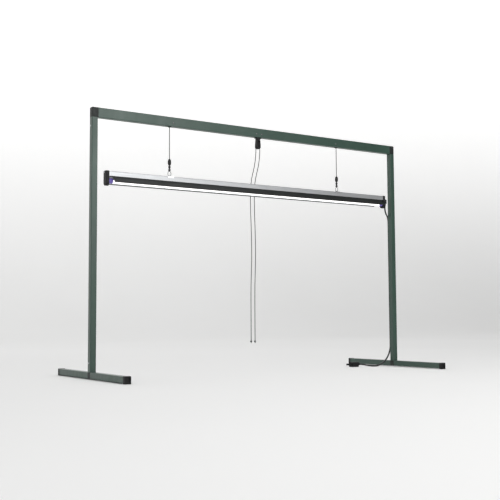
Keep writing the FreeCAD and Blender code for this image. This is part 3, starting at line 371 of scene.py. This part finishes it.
def brushed_metal(name, colour, stretch, rough):
    """Metal with fine lines along one direction."""
    shader = Shader(name)
    lines = shader.noise(1, 4, 0.7, shader.stretched(*stretch))
    dull = tuple(c * 0.9 for c in colour)
    clouded = shader.spread(shader.noise(12, 4), dull, colour, start=0.35)
    base = shader.mix(shader.math("MULTIPLY", lines, 0.6), clouded, dull)
    roughness = shader.spread(lines, *rough)
    return shader.done(base, roughness, shader.bump(lines, 0.03 * MM, 0.5), Metallic=1.0)


def zinc_plate(name, colour):
    """Zinc plate: blotchy crystals and an uneven polish."""
    shader = Shader(name)
    blotch = shader.noise(260, 3)
    base = shader.spread(blotch, tuple(c * 0.82 for c in colour), colour)
    roughness = shader.spread(shader.noise(500, 3), 0.22, 0.4)
    return shader.done(base, roughness, shader.bump(blotch, 0.02 * MM, 0.4), Metallic=1.0)


def hood_sheet():
    """Painted sheet: nearly black, with pale reflector enamel on the faces that look down."""
    shader = Shader("hood_sheet")
    normal = shader.node("ShaderNodeNewGeometry").outputs["True Normal"]
    upward = shader.node("ShaderNodeSeparateXYZ", Vector=normal).outputs["Z"]
    looks_down = shader.math("LESS_THAN", upward, -0.2)
    outside = shader.spread(shader.noise(9, 4), (0.004, 0.0055, 0.005), (0.009, 0.011, 0.010))
    enamel = shader.spread(shader.noise(20, 3), (0.34, 0.36, 0.35), (0.40, 0.42, 0.41))
    colour = shader.mix(looks_down, outside, enamel)
    streaks = shader.noise(1, 5, 0.6, shader.stretched(6, 60, 60))
    roughness = shader.spread(streaks, 0.3, 0.46, start=0.35)
    peel = shader.bump(shader.noise(600, 3), 0.08 * MM, 0.4)
    return shader.done(colour, roughness, peel, Specular_IOR_Level=0.35)


def braid():
    """Braided cord: mottled dark fibre with lighter flecks and a soft sheen. The strands are mesh."""
    shader = Shader("braided_cord")
    dark, light, fleck = (0.004, 0.0055, 0.005), (0.012, 0.016, 0.014), (0.05, 0.075, 0.06)
    base = shader.spread(shader.noise(900, 4, 0.7), dark, light)
    flecks = shader.spread(shader.noise(330, 2), 0.0, 1.0, start=0.6, stop=0.68)
    colour = shader.mix(shader.math("MULTIPLY", flecks, 0.5), base, fleck)
    fibre = shader.bump(shader.noise(2600, 3), 0.12 * MM, 0.8)
    return shader.done(colour, 0.78, fibre, Sheen_Weight=0.15, Sheen_Roughness=0.5)


def soft_jacket():
    """Cable jacket: smooth PVC with a faint long streak and handling marks."""
    shader = Shader("cable_jacket")
    streak = shader.noise(1, 4, 0.6, shader.stretched(200, 200, 12))
    colour = shader.spread(streak, (0.006, 0.006, 0.007), (0.016, 0.016, 0.018))
    roughness = shader.spread(shader.noise(90, 4), 0.32, 0.5, start=0.35)
    return shader.done(colour, roughness, shader.bump(shader.noise(700, 2), 0.04 * MM, 0.4))


def lit_diffuser():
    """Frosted tube, lit from inside: dimmer and bluer towards its edges, uneven along its length."""
    shader = Shader("lit_diffuser")
    facing = shader.node("ShaderNodeLayerWeight", Blend=0.35).outputs["Facing"]
    glow = shader.spread(facing, (1.0, 0.985, 0.96), (0.86, 0.88, 1.0), start=0.2, stop=0.9)
    along = shader.noise(1, 2, 0.5, shader.stretched(85, 3, 3))
    strength = shader.math("MULTIPLY", shader.spread(along, 0.86, 1.0), 1.5)
    frost = shader.bump(shader.noise(900, 3), 0.04 * MM, 0.5)
    white = (0.9, 0.9, 0.9)
    return shader.done(white, 0.4, frost, Emission_Color=glow, Emission_Strength=strength)


def lit_chip():
    """Yellow phosphor, lit."""
    shader = Shader("lit_chip")
    grain = shader.noise(1500, 2)
    colour = shader.spread(grain, (0.8, 0.62, 0.12), (0.95, 0.8, 0.25))
    glow = shader.spread(grain, (1.0, 0.86, 0.55), (1.0, 0.93, 0.7))
    texture = shader.bump(grain, 0.03 * MM, 0.4)
    return shader.done(colour, 0.5, texture, Emission_Color=glow, Emission_Strength=4.0)


def violet_collar():
    """Violet-blue end collar with a painted glow: a weak light of its own, as if the tube shone through it,
    stands in for its highlight.
    """
    shader = Shader("violet_collar")
    colour = shader.spread(shader.noise(140, 3), (0.075, 0.055, 0.22), (0.13, 0.10, 0.33))
    roughness = shader.spread(shader.noise(300, 3), 0.25, 0.42)
    texture = shader.bump(shader.noise(600, 2), 0.04 * MM, 0.4)
    return shader.done(colour, roughness, texture, Emission_Color=colour, Emission_Strength=0.6)


def circuit_board():
    """White solder mask with faint copper tracks under it."""
    shader = Shader("circuit_board")
    mask = (0.8, 0.81, 0.78)
    tracks = shader.node("ShaderNodeTexBrick", Vector=shader.stretched(60, 160, 1), Scale=1.0)
    for socket, shade in (("Color1", 1), ("Color2", 0.92), ("Mortar", 0.72)):
        shader.feed_colour(tracks.inputs[socket], [c * shade for c in mask])
    height = shader.noise(400, 2)
    roughness = shader.spread(height, 0.3, 0.45)
    return shader.done(tracks.outputs["Color"], roughness, shader.bump(height, 0.03 * MM, 0.4))


def driver_components():
    """Taped coils and sleeved capacitors: the colour changes along the driver."""
    shader = Shader("driver_components")
    block = shader.noise(1, 0, 0.5, shader.stretched(26, 2, 2))
    tape, black, copper = (0.55, 0.38, 0.05), (0.03, 0.03, 0.035), (0.45, 0.2, 0.06)
    colour = shader.ramp(block, (0.35, tape), (0.5, black), (0.62, copper))
    roughness = shader.spread(shader.noise(300, 3), 0.35, 0.55)
    return shader.done(colour, roughness, shader.bump(shader.noise(500, 2), 0.05 * MM, 0.5))


def wire_insulation():
    """Red wire: the paler stretches are also the rougher ones."""
    shader = Shader("wire_insulation")
    tone = shader.noise(40, 3)
    colour = shader.spread(tone, (0.38, 0.02, 0.015), (0.55, 0.04, 0.03))
    roughness = shader.spread(tone, 0.3, 0.45)
    return shader.done(colour, roughness, shader.bump(shader.noise(800, 2), 0.03 * MM, 0.4))


def pale_floor():
    """Matt pale paper that glows more the higher it curves up."""
    shader = Shader("pale_floor")
    colour = shader.spread(shader.noise(0.6, 3), (0.86, 0.86, 0.855), (0.88, 0.88, 0.875))
    height = shader.node("ShaderNodeSeparateXYZ", Vector=shader.place).outputs["Z"]
    glow = shader.math("MULTIPLY", height, 0.17, clamp=True)
    grain = shader.bump(shader.noise(300, 2), 0.1 * MM, 0.15)
    return shader.done(colour, 0.85, grain, Emission_Color=(1, 1, 1, 1), Emission_Strength=glow)


def make_plastics():
    elbow_dark, elbow_light = (0.010, 0.013, 0.012), (0.017, 0.021, 0.019)
    black_dark, black_light = (0.003, 0.0032, 0.0034), (0.008, 0.0084, 0.009)
    button_dark, button_light = (0.003, 0.003, 0.003), (0.007, 0.007, 0.007)
    white_dark, white_light = (0.68, 0.68, 0.65), (0.78, 0.78, 0.76)
    return {
        "elbow_plastic": moulded_plastic("elbow_plastic", elbow_dark, elbow_light),
        "black_plastic": moulded_plastic("black_plastic", black_dark, black_light),
        "button_plastic": moulded_plastic(
            "button_plastic", button_dark, button_light, grain=300, rough=(0.2, 0.34), wear=0.02, gloss=0.4,
        ),
        "white_plastic": moulded_plastic("white_plastic", white_dark, white_light, grain=600, gloss=0.5),
    }


def make_metals():
    """Brushed metals: colour, how close the lines lie along x, y and z, and roughness from and to."""
    aluminium, black, brass = (0.50, 0.51, 0.52), (0.05, 0.05, 0.055), (0.75, 0.6, 0.32)
    return {
        "zinc_steel": zinc_plate("zinc_plate", (0.66, 0.67, 0.68)),
        "zinc_dark": zinc_plate("zinc_dark", (0.16, 0.17, 0.17)),
        "swivel_black": brushed_metal("swivel_black", black, (400, 400, 30), (0.3, 0.45)),
        "housing_aluminium": brushed_metal("housing_aluminium", aluminium, (3, 900, 900), (0.34, 0.52)),
        "brass_pin": brushed_metal("brass_pin", brass, (40, 600, 600), (0.2, 0.35)),
    }


def make_materials():
    """The material of every slot, and a darker zinc for the rivets and hooks."""
    return {
        **make_plastics(),
        **make_metals(),
        "green_paint": powder_coat(),
        "hood_paint": hood_sheet(),
        "cord": braid(),
        "cable_jacket": soft_jacket(),
        "circuit_board": circuit_board(),
        "driver_mix": driver_components(),
        "wire_red": wire_insulation(),
        "led_glow": lit_diffuser(),
        "led_phosphor": lit_chip(),
        "collar_violet": violet_collar(),
    }


def dress_cad_nodes():
    """Every CAD node gets the procedural material of its slot."""
    slot_of = {item["node"]: item["material_slot"] for item in frame["record"]["subparts"]}
    for name, node in frame["nodes"].items():
        node.data.materials.clear()
        node.data.materials.append(materials[slot_of[name]])


# ---------------------------------------------------------------- cords


def braid_relief(radius):
    """Height of a braid over its cord: two families of helical strands that cross each other."""
    strands = 5
    lay = 5.2 * MM
    depth = 0.16 * radius
    mean_height = 0.75

    def relief(length, angle):
        turn = 2 * math.pi * length / lay
        one = abs(math.sin(strands * angle / 2 + turn))
        two = abs(math.sin(strands * angle / 2 - turn))
        return depth * (max(one, two) - mean_height)

    return relief


def braided_cord(name, path):
    radius = cord_radius()
    return new_piece(name, sweep(path, radius, 20, braid_relief(radius)), None, "cord")


def add_drop_cord(name):
    """The cord at one end of the lamp, from its pulley down to its foot."""
    node = f"cord_drop_{name}"
    low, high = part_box(node)
    x = centre(node).x
    path = [Vector((x, 0, z)) for z in levels_between(high.z, low.z, CORD_RING_STEP)]
    drop = braided_cord(f"drop_cord_{name}", path)
    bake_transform(drop)
    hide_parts(node)


def add_tail_cord(name):
    """A loose cord end that hangs from the lock; the knot at its foot rides on the cord tails, which move
    against the lamp.
    """
    node = f"cord_tail_{name}"
    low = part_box(node)[0]
    in_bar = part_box("top_bar")[0].z + 4 * MM
    path = middle_line(node, levels_between(in_bar, low.z + 0.2 * MM, CORD_RING_STEP))
    tail = braided_cord(f"tail_cord_{name}", path)
    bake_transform(tail)
    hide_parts(node)
    add_knot(name, path[-1])


def add_knot(name, end):
    """Overhand knot and a short cut end below it."""
    radius = cord_radius()
    width, height, drop = 0.713 * radius, 1.265 * radius, 3.2 * radius
    knot_steps, stub_steps = 90, 12
    path = []
    for n in range(knot_steps):
        t = 2 * math.pi * n / knot_steps
        across = math.sin(t) + 2 * math.sin(2 * t)
        back = math.cos(t) - 2 * math.cos(2 * t)
        up = -math.sin(3 * t)
        path.append(end + Vector((across * width, back * width, up * height - drop)))
    knot = sweep(path, 0.92 * radius, 14, closed=True)
    bottom = end - 8.5 * radius * UP
    stub_path = [end.lerp(bottom, n / stub_steps) for n in range(stub_steps + 1)]
    stub = sweep(stub_path, 0.95 * radius, 14)
    piece = new_piece(f"tail_knot_{name}", join_meshes([knot, stub]), "cord_tails", "cord")
    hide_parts("tail_knots")


def cut_level(shell, level, **clearing):
    """Cuts the shell's faces at a height; clearing may remove the part below (inner) or above (outer)."""
    geometry = shell.verts[:] + shell.edges[:] + shell.faces[:]
    bmesh.ops.bisect_plane(shell, geom=geometry, plane_co=(0, 0, level), plane_no=UP, **clearing)


def copy_cut(node, name, cut_z, keep_above):
    """A copy of a CAD cord above or below a height, with extra rings along it."""
    spacing = 8 * MM
    shell = bmesh.new()
    shell.from_mesh(frame["nodes"][node].data)
    cut_level(shell, cut_z, clear_inner=keep_above, clear_outer=not keep_above)
    open_edges = [edge for edge in shell.edges if edge.is_boundary]
    bmesh.ops.holes_fill(shell, edges=open_edges)
    low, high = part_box(node)
    level = max(low.z, 0) + spacing
    while level < high.z - spacing:
        if (level > cut_z) == keep_above:
            cut_level(shell, level)
        level += spacing
    mesh = bpy.data.meshes.new(name)
    shell.to_mesh(mesh)
    shell.free()
    return finish_piece(name, mesh, None, "cable_jacket")


def add_power_cord():
    """The cord cut in two 40 mm under the lamp's plug: one piece near the plug, one behind the upright."""
    node = "power_cord"
    plug_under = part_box("lamp_plug")[0].z
    split = plug_under - 40 * MM
    upper = copy_cut(node, "power_cord_upper", split, keep_above=True)
    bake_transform(upper)
    lower = copy_cut(node, "power_cord_lower", split, keep_above=False)
    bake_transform(lower)
    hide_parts(node)


# ---------------------------------------------------------------- screws, rivets and rings


def cross_head(origin, axis, radius, height):
    """A low domed screw head with a cross recess, as one closed skin."""
    rings, sides = 16, 72
    half_slot, reach, depth = 0.13 * radius, 0.62 * radius, 0.6 * height
    way, side, other = axes_of(axis)
    loops = [circle(origin, side, other, radius, sides)]
    for n in range(rings, 0, -1):
        distance = radius * n / rings
        dome = height * math.sqrt(1 - 0.75 * (n / rings) ** 2)
        loop = []
        for k in range(sides):
            angle = 2 * math.pi * k / sides
            across, up = distance * math.cos(angle), distance * math.sin(angle)
            in_cross = distance < reach and min(abs(across), abs(up)) < half_slot
            level = dome - depth * in_cross
            loop.append(origin + across * side + up * other + level * way)
        loops.append(loop)
    return skin(loops)


def screw(origin, axis, radius, height, shank, tip_radius, tip):
    """Head and shank of a screw: the shank is half as wide as the head and narrows to its tip."""
    profile = [(radius / 2, 0), (radius / 2, -shank), (tip_radius, -tip)]
    return [cross_head(origin, axis, radius, height), lathe(profile, origin, axis, 24)]


def add_cap_screws():
    """One screw in each end cap of the lamp."""
    node = "lamp_cap_screws"
    low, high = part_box(node)
    radius = size(node).z / 2
    faces = (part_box("lamp_end_cap_left")[0].x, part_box("lamp_end_cap_right")[1].x)
    screws = []
    for (_, side), face, head_top in zip(SIDES, faces, (low.x, high.x)):
        at = Vector((face, 0, centre(node).z))
        height = abs(head_top - face)
        screws += screw(at, (side, 0, 0), radius, height, 18 * MM, radius / 4, 20 * MM)
    piece = new_piece("cap_screws", join_meshes(screws), "lamp", "zinc_steel")
    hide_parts(node)


def add_lock_screws():
    """Two screws from below through the flange of the cord lock."""
    node = "cord_lock_screws"
    low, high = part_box(node)
    radius = size(node).y / 2
    flange_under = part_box("cord_lock_body")[1].z - 3 * MM
    screws = []
    for _, side in SIDES:
        at = Vector((side * (high.x - radius), 0, flange_under))
        height = flange_under - low.z
        screws += screw(at, -UP, radius, height, 3 * MM, radius / 3, 4.5 * MM)
    piece = new_piece("lock_screws", join_meshes(screws), "frame", "zinc_steel")
    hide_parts(node)


def add_axles():
    """Rivets: a round shank and a domed head with an upright rim at both ends."""
    node = "pulley_axles"
    head = size(node).z / 2
    bar_face = size("top_bar").y / 2
    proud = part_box(node)[1].y - bar_face
    dome = [(1, 0), (1, 0.25), (0.86, 0.62), (0.55, 0.9), (0, 1)]
    profile = [(share * head, -bar_face - rise * proud) for share, rise in reversed(dome)]
    profile += [(head / 2, -bar_face), (head / 2, bar_face)]
    profile += [(share * head, bar_face + rise * proud) for share, rise in dome]
    rivets = []
    for pulley in ("outer_left", "inner_left", "inner_right", "outer_right"):
        at = Vector((centre(f"pulley_{pulley}").x, 0, centre(node).z))
        rivets.append(lathe(profile, at, BACK, 36))
    piece = new_piece("axle_rivets", join_meshes(rivets), "frame", "zinc_dark")
    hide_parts(node)


def add_grommets():
    """Soft rings with a rounded flange where the cords leave the bar."""
    node = "cord_grommets"
    under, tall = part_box(node)[0].z, size(node).z
    bore, flange = cord_bore(), size(node).y / 2
    sleeve, lip = flange - 2.3 * MM, 1.5 * MM
    profile = [
        (bore, 0.4 * MM), (bore + 0.5 * MM, 0), (flange - 0.7 * MM, 0), (flange - 0.2 * MM, 0.3 * MM),
        (flange, 0.8 * MM), (flange - 0.3 * MM, lip), (sleeve, lip), (sleeve, tall - 0.3 * MM),
        (sleeve - 0.4 * MM, tall), (bore, tall),
    ]
    rings = []
    for name, _ in SIDES:
        at = Vector((centre(f"cord_drop_{name}").x, 0, under))
        rings.append(lathe_ring(profile, at, UP, 48))
    piece = new_piece("grommets", join_meshes(rings), "frame", "black_plastic")
    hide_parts(node)


# ---------------------------------------------------------------- swivels and hooks


def add_bead(name):
    """Egg-shaped bead with a seam round its middle."""
    node = f"cord_bead_{name}"
    under, tall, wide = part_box(node)[0].z, size(node).z, size(node).x / 2
    bore, rim, seam, steps = cord_bore(), 0.5 * MM, 0.25 * MM, 24
    profile = []
    for n in range(steps + 1):
        angle = math.pi * n / steps
        radius = wide * math.sin(angle) ** 0.85 - (seam if n == steps // 2 else 0)
        profile.append((max(radius, bore + rim), tall / 2 * (1 - math.cos(angle))))
    profile += [(bore, tall - rim), (bore, rim)]
    shape = lathe_ring(profile, Vector((centre(node).x, 0, under)), UP, 48)
    bead = new_piece(f"bead_{name}", shape, f"swivel_{name}", "button_plastic")
    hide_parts(node)


def add_barrel(name):
    """Turned barrel: a rounded foot, a waist, three grooves, a rounded top and a stepped bore."""
    node = f"swivel_barrel_{name}"
    under, tall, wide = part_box(node)[0].z, size(node).z, size(node).x / 2
    bore, stem_bore = cord_bore(), 1.3 * MM
    waist, shoulder, groove = wide - 1.1 * MM, wide - 0.5 * MM, wide - 0.25 * MM
    profile = [(stem_bore, 0), (waist, 0), (wide - 0.3 * MM, 0.35 * MM), (wide, 1.0 * MM)]
    profile += [(wide, 0.33 * tall), (shoulder, 0.36 * tall), (waist, 0.41 * tall)]
    profile += [(waist, 0.55 * tall), (shoulder, 0.60 * tall), (wide, 0.63 * tall)]
    for n in range(3):
        z = (0.70 + 0.07 * n) * tall
        profile += [(wide, z), (groove, z + 0.2 * MM), (groove, z + 0.5 * MM), (wide, z + 0.7 * MM)]
    profile += [(wide, tall - 1.0 * MM), (wide - 0.4 * MM, tall - 0.3 * MM), (wide - 1.2 * MM, tall)]
    profile += [(bore, tall), (bore, tall - 2 * MM), (stem_bore, tall - 2.5 * MM)]
    shape = lathe_ring(profile, Vector((centre(node).x, 0, under)), UP, 48)
    barrel = new_piece(f"barrel_{name}", shape, f"swivel_{name}", "swivel_black")
    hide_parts(node)


def add_hook(name):
    """Snap hook: a long wire loop, a gate with its pin on one leg, and the headed stem."""
    node = f"snap_ring_{name}"
    low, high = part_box(node)
    x = centre(node).x
    wire = 0.9 * MM
    turn = size(node).x / 2 - wire
    loop_top = low.z + 16.6 * MM
    low_bend, high_bend = low.z + wire + turn, loop_top - wire - turn
    steps = 24
    path = []
    for z, start in ((high_bend, 0), (low_bend, math.pi)):
        for n in range(steps + 1):
            angle = start + math.pi * n / steps
            path.append(Vector((x + turn * math.cos(angle), 0, z + turn * math.sin(angle))))
    loop = sweep(path, wire, 20, closed=True)

    gate_profile = in_mm((0, 0), (1.15, 0), (1.25, 0.2), (1.25, 3.6), (1.05, 3.9), (0, 3.9))
    gate = lathe(gate_profile, Vector((x + turn, 0, low_bend - 0.2 * MM)), UP, 24)
    pin_profile = in_mm((0, -1.5), (0.5, -1.45), (0.5, 1.45), (0, 1.5))
    pin = lathe(pin_profile, Vector((x + turn, 0, high_bend + 0.6 * MM)), BACK, 20)

    stem_top, head, head_tall = high.z - loop_top, 2.1 * MM, 1.5 * MM
    stem_profile = in_mm((0, 0), (1.9, 0), (2.0, 0.3), (1.25, 0.9))
    stem_profile += [(1.25 * MM, stem_top - head_tall), (head, stem_top - head_tall)]
    stem_profile += [(head, stem_top - 0.2 * MM), (0, stem_top)]
    stem = lathe(stem_profile, Vector((x, 0, loop_top - 0.4 * MM)), UP, 28)

    piece = new_piece(f"hook_{name}", join_meshes([loop, gate, pin, stem]), "carriage", "zinc_dark")
    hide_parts(node)


# ---------------------------------------------------------------- cord lock and strain reliefs


def add_button_face():
    """Concentric grip ribs on the face of the release button."""
    node = "cord_lock_button"
    middle = centre(node)
    radius = size(node).x / 2
    ribs, rise, foot, crest = 4, -0.3 * MM, 0.35 * MM, 0.2 * MM
    profile = [(0.9 * radius, 0.1 * MM)]
    for n in range(ribs, 0, -1):
        ring = 0.2 * n * radius
        profile += [(ring + foot, 0), (ring + crest, rise), (ring - crest, rise), (ring - foot, 0)]
    profile.append((0, 0))
    shape = lathe(profile, Vector((middle.x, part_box(node)[0].y, middle.z)), BACK, 48)
    new_piece("button_ribs", shape, "lock_button", "button_plastic")


def add_lock_spring():
    """Coil spring behind the button."""
    node = "cord_lock_spring"
    low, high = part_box(node)
    middle = centre("cord_lock_button")
    wire, turns, steps = 0.35 * MM, 3, 150
    radius, length = size(node).x / 2 - wire, size(node).y - 2 * wire
    path = []
    for n in range(steps + 1):
        angle = 2 * math.pi * turns * n / steps
        across, up = radius * math.cos(angle), radius * math.sin(angle)
        y = low.y + wire + length * n / steps
        path.append(Vector((middle.x + across, y, middle.z + up)))
    spring = new_piece("lock_spring", sweep(path, wire, 12), None, "zinc_steel")
    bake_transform(spring)
    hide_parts(node)


def add_lamp_plug_ribs():
    """Ribs round the strain relief of the lamp's plug."""
    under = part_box("lamp_plug")[0].z
    x = (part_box("lamp_end_cap_right")[1].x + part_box("lamp_plug")[1].x) / 2
    count, first, spacing = 4, 0.3 * MM, 1.6 * MM
    root, crest = JACKET_RADIUS + 0.8 * MM, JACKET_RADIUS + 1.35 * MM
    profile = [(root, 0), (crest, 0.2 * MM), (crest, 0.8 * MM), (root, 1.0 * MM)]
    ribs = []
    for n in range(count):
        ribs.append(lathe_ring(profile, Vector((x, 0, under + first + spacing * n)), UP))
    new_piece("lamp_plug_ribs", join_meshes(ribs), "lamp", "black_plastic")


def add_mains_plug_relief():
    """Ribbed strain relief that tapers from the mains plug to its cord."""
    middle = centre("mains_plug")
    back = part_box("mains_plug")[1].x
    root, length = 5.6 * MM, 13.5 * MM
    ribs, first, spacing, widest, taper = 5, 1 * MM, 2.4 * MM, 5.4 * MM, 0.4 * MM
    profile = [(0, 0), (root, 0)]
    for n in range(ribs):
        crest = widest - taper * n
        groove = crest - 0.9 * MM
        z = first + spacing * n
        profile += [(crest, z), (crest, z + 1.4 * MM), (groove, z + 1.6 * MM), (groove, z + 2.3 * MM)]
    profile += [(JACKET_RADIUS + 0.3 * MM, length), (0, length)]
    shape = lathe(profile, Vector((back - 1 * MM, middle.y, middle.z)), RIGHT)
    new_piece("mains_plug_relief", shape, "frame", "black_plastic")


# ---------------------------------------------------------------- stage and camera


def add_stage():
    """Pale seamless floor that curves up far behind the object."""
    front, depth, bend, wall, half_width = -9.0, 4.0, 2.5, 5.0, 30.0
    gap_under_feet = 0.4 * MM
    steps = 16
    outline = [(front, 0.0), (depth, 0.0)]
    for n in range(1, steps + 1):
        angle = math.pi / 2 * n / steps
        outline.append((depth + bend * math.sin(angle), bend * (1 - math.cos(angle))))
    outline.append((depth + bend, bend + wall))
    vertices = [(x, y, z - gap_under_feet) for y, z in outline for x in (-half_width, half_width)]
    faces = [(2 * n, 2 * n + 1, 2 * n + 3, 2 * n + 2) for n in range(len(outline) - 1)]
    mesh = bpy.data.meshes.new("floor")
    mesh.from_pydata(vertices, [], faces)
    mesh.polygons.foreach_set("use_smooth", [True] * len(mesh.polygons))
    mesh.materials.append(pale_floor())
    floor = bpy.data.objects.new("floor", mesh)
    bpy.context.scene.collection.objects.link(floor)


def add_world():
    """Pale surroundings, dimmer towards +X, so that paint that mirrors that side stays deep green."""
    world = bpy.data.worlds.new("studio")
    world.use_nodes = True
    tree = world.node_tree
    direction = tree.nodes.new("ShaderNodeTexCoord").outputs["Generated"]
    parts = tree.nodes.new("ShaderNodeSeparateXYZ")
    fall = tree.nodes.new("ShaderNodeMapRange")
    limits = {"From Min": 0.15, "From Max": 0.75, "To Min": 0.62, "To Max": 0.16}
    for socket, value in limits.items():
        fall.inputs[socket].default_value = value
    background = tree.nodes["Background"]
    background.inputs["Color"].default_value = (1, 1, 1, 1)
    tree.links.new(direction, parts.inputs[0])
    tree.links.new(parts.outputs["X"], fall.inputs["Value"])
    tree.links.new(fall.outputs["Result"], background.inputs["Strength"])
    bpy.context.scene.world = world


def add_area_light(name, place, target, width, height, power):
    light = bpy.data.lights.new(name, "AREA")
    light.shape = "RECTANGLE"
    light.size, light.size_y = width, height
    light.energy = power
    item = bpy.data.objects.new(name, light)
    item.location = place
    item.rotation_euler = (Vector(target) - Vector(place)).to_track_quat("-Z", "Y").to_euler()
    bpy.context.scene.collection.objects.link(item)


def add_lights():
    add_area_light("key", (0.4, -3.6, 1.9), (-0.1, 0, 0.5), width=2.6, height=2.4, power=70)
    add_area_light("top", (0, 0.6, 3.2), (0, 0, 0.4), width=3.0, height=2.0, power=14)
    add_area_light("backdrop", (0, 2.2, 3.6), (0, 6.0, 1.6), width=8.0, height=1.0, power=34)


def add_camera():
    """The photographed view: low at the left front, looking slightly up at the lamp."""
    yaw, pitch, roll = 0.571712, 0.0776716, -0.0055674
    lens, sensor = 64.03, 36.0
    place = Vector((-1.7204, -2.6186, 0.1842))
    level_way = math.sin(yaw) * RIGHT + math.cos(yaw) * BACK
    forward = math.cos(pitch) * level_way + math.sin(pitch) * UP
    level_right = math.cos(yaw) * RIGHT - math.sin(yaw) * BACK
    level_up = level_right.cross(forward)
    right = math.cos(roll) * level_right + math.sin(roll) * level_up
    up = math.cos(roll) * level_up - math.sin(roll) * level_right
    data = bpy.data.cameras.new("camera")
    data.lens, data.sensor_width = lens, sensor
    camera = bpy.data.objects.new("camera", data)
    turn = Matrix((right, up, -forward)).transposed()
    camera.matrix_world = Matrix.Translation(place) @ turn.to_4x4()
    bpy.context.scene.collection.objects.link(camera)
    bpy.context.scene.camera = camera


materials = make_materials()
dress_cad_nodes()
for side_name, _ in SIDES:
    add_drop_cord(side_name)
    add_tail_cord(side_name)
add_power_cord()
add_cap_screws()
add_lock_screws()
add_axles()
add_grommets()
for side_name, _ in SIDES:
    add_bead(side_name)
    add_barrel(side_name)
    add_hook(side_name)
add_button_face()
add_lock_spring()
add_lamp_plug_ribs()
add_mains_plug_relief()
add_stage()
add_world()
add_lights()
add_camera()
bpy.context.scene.view_settings.view_transform = "Standard"
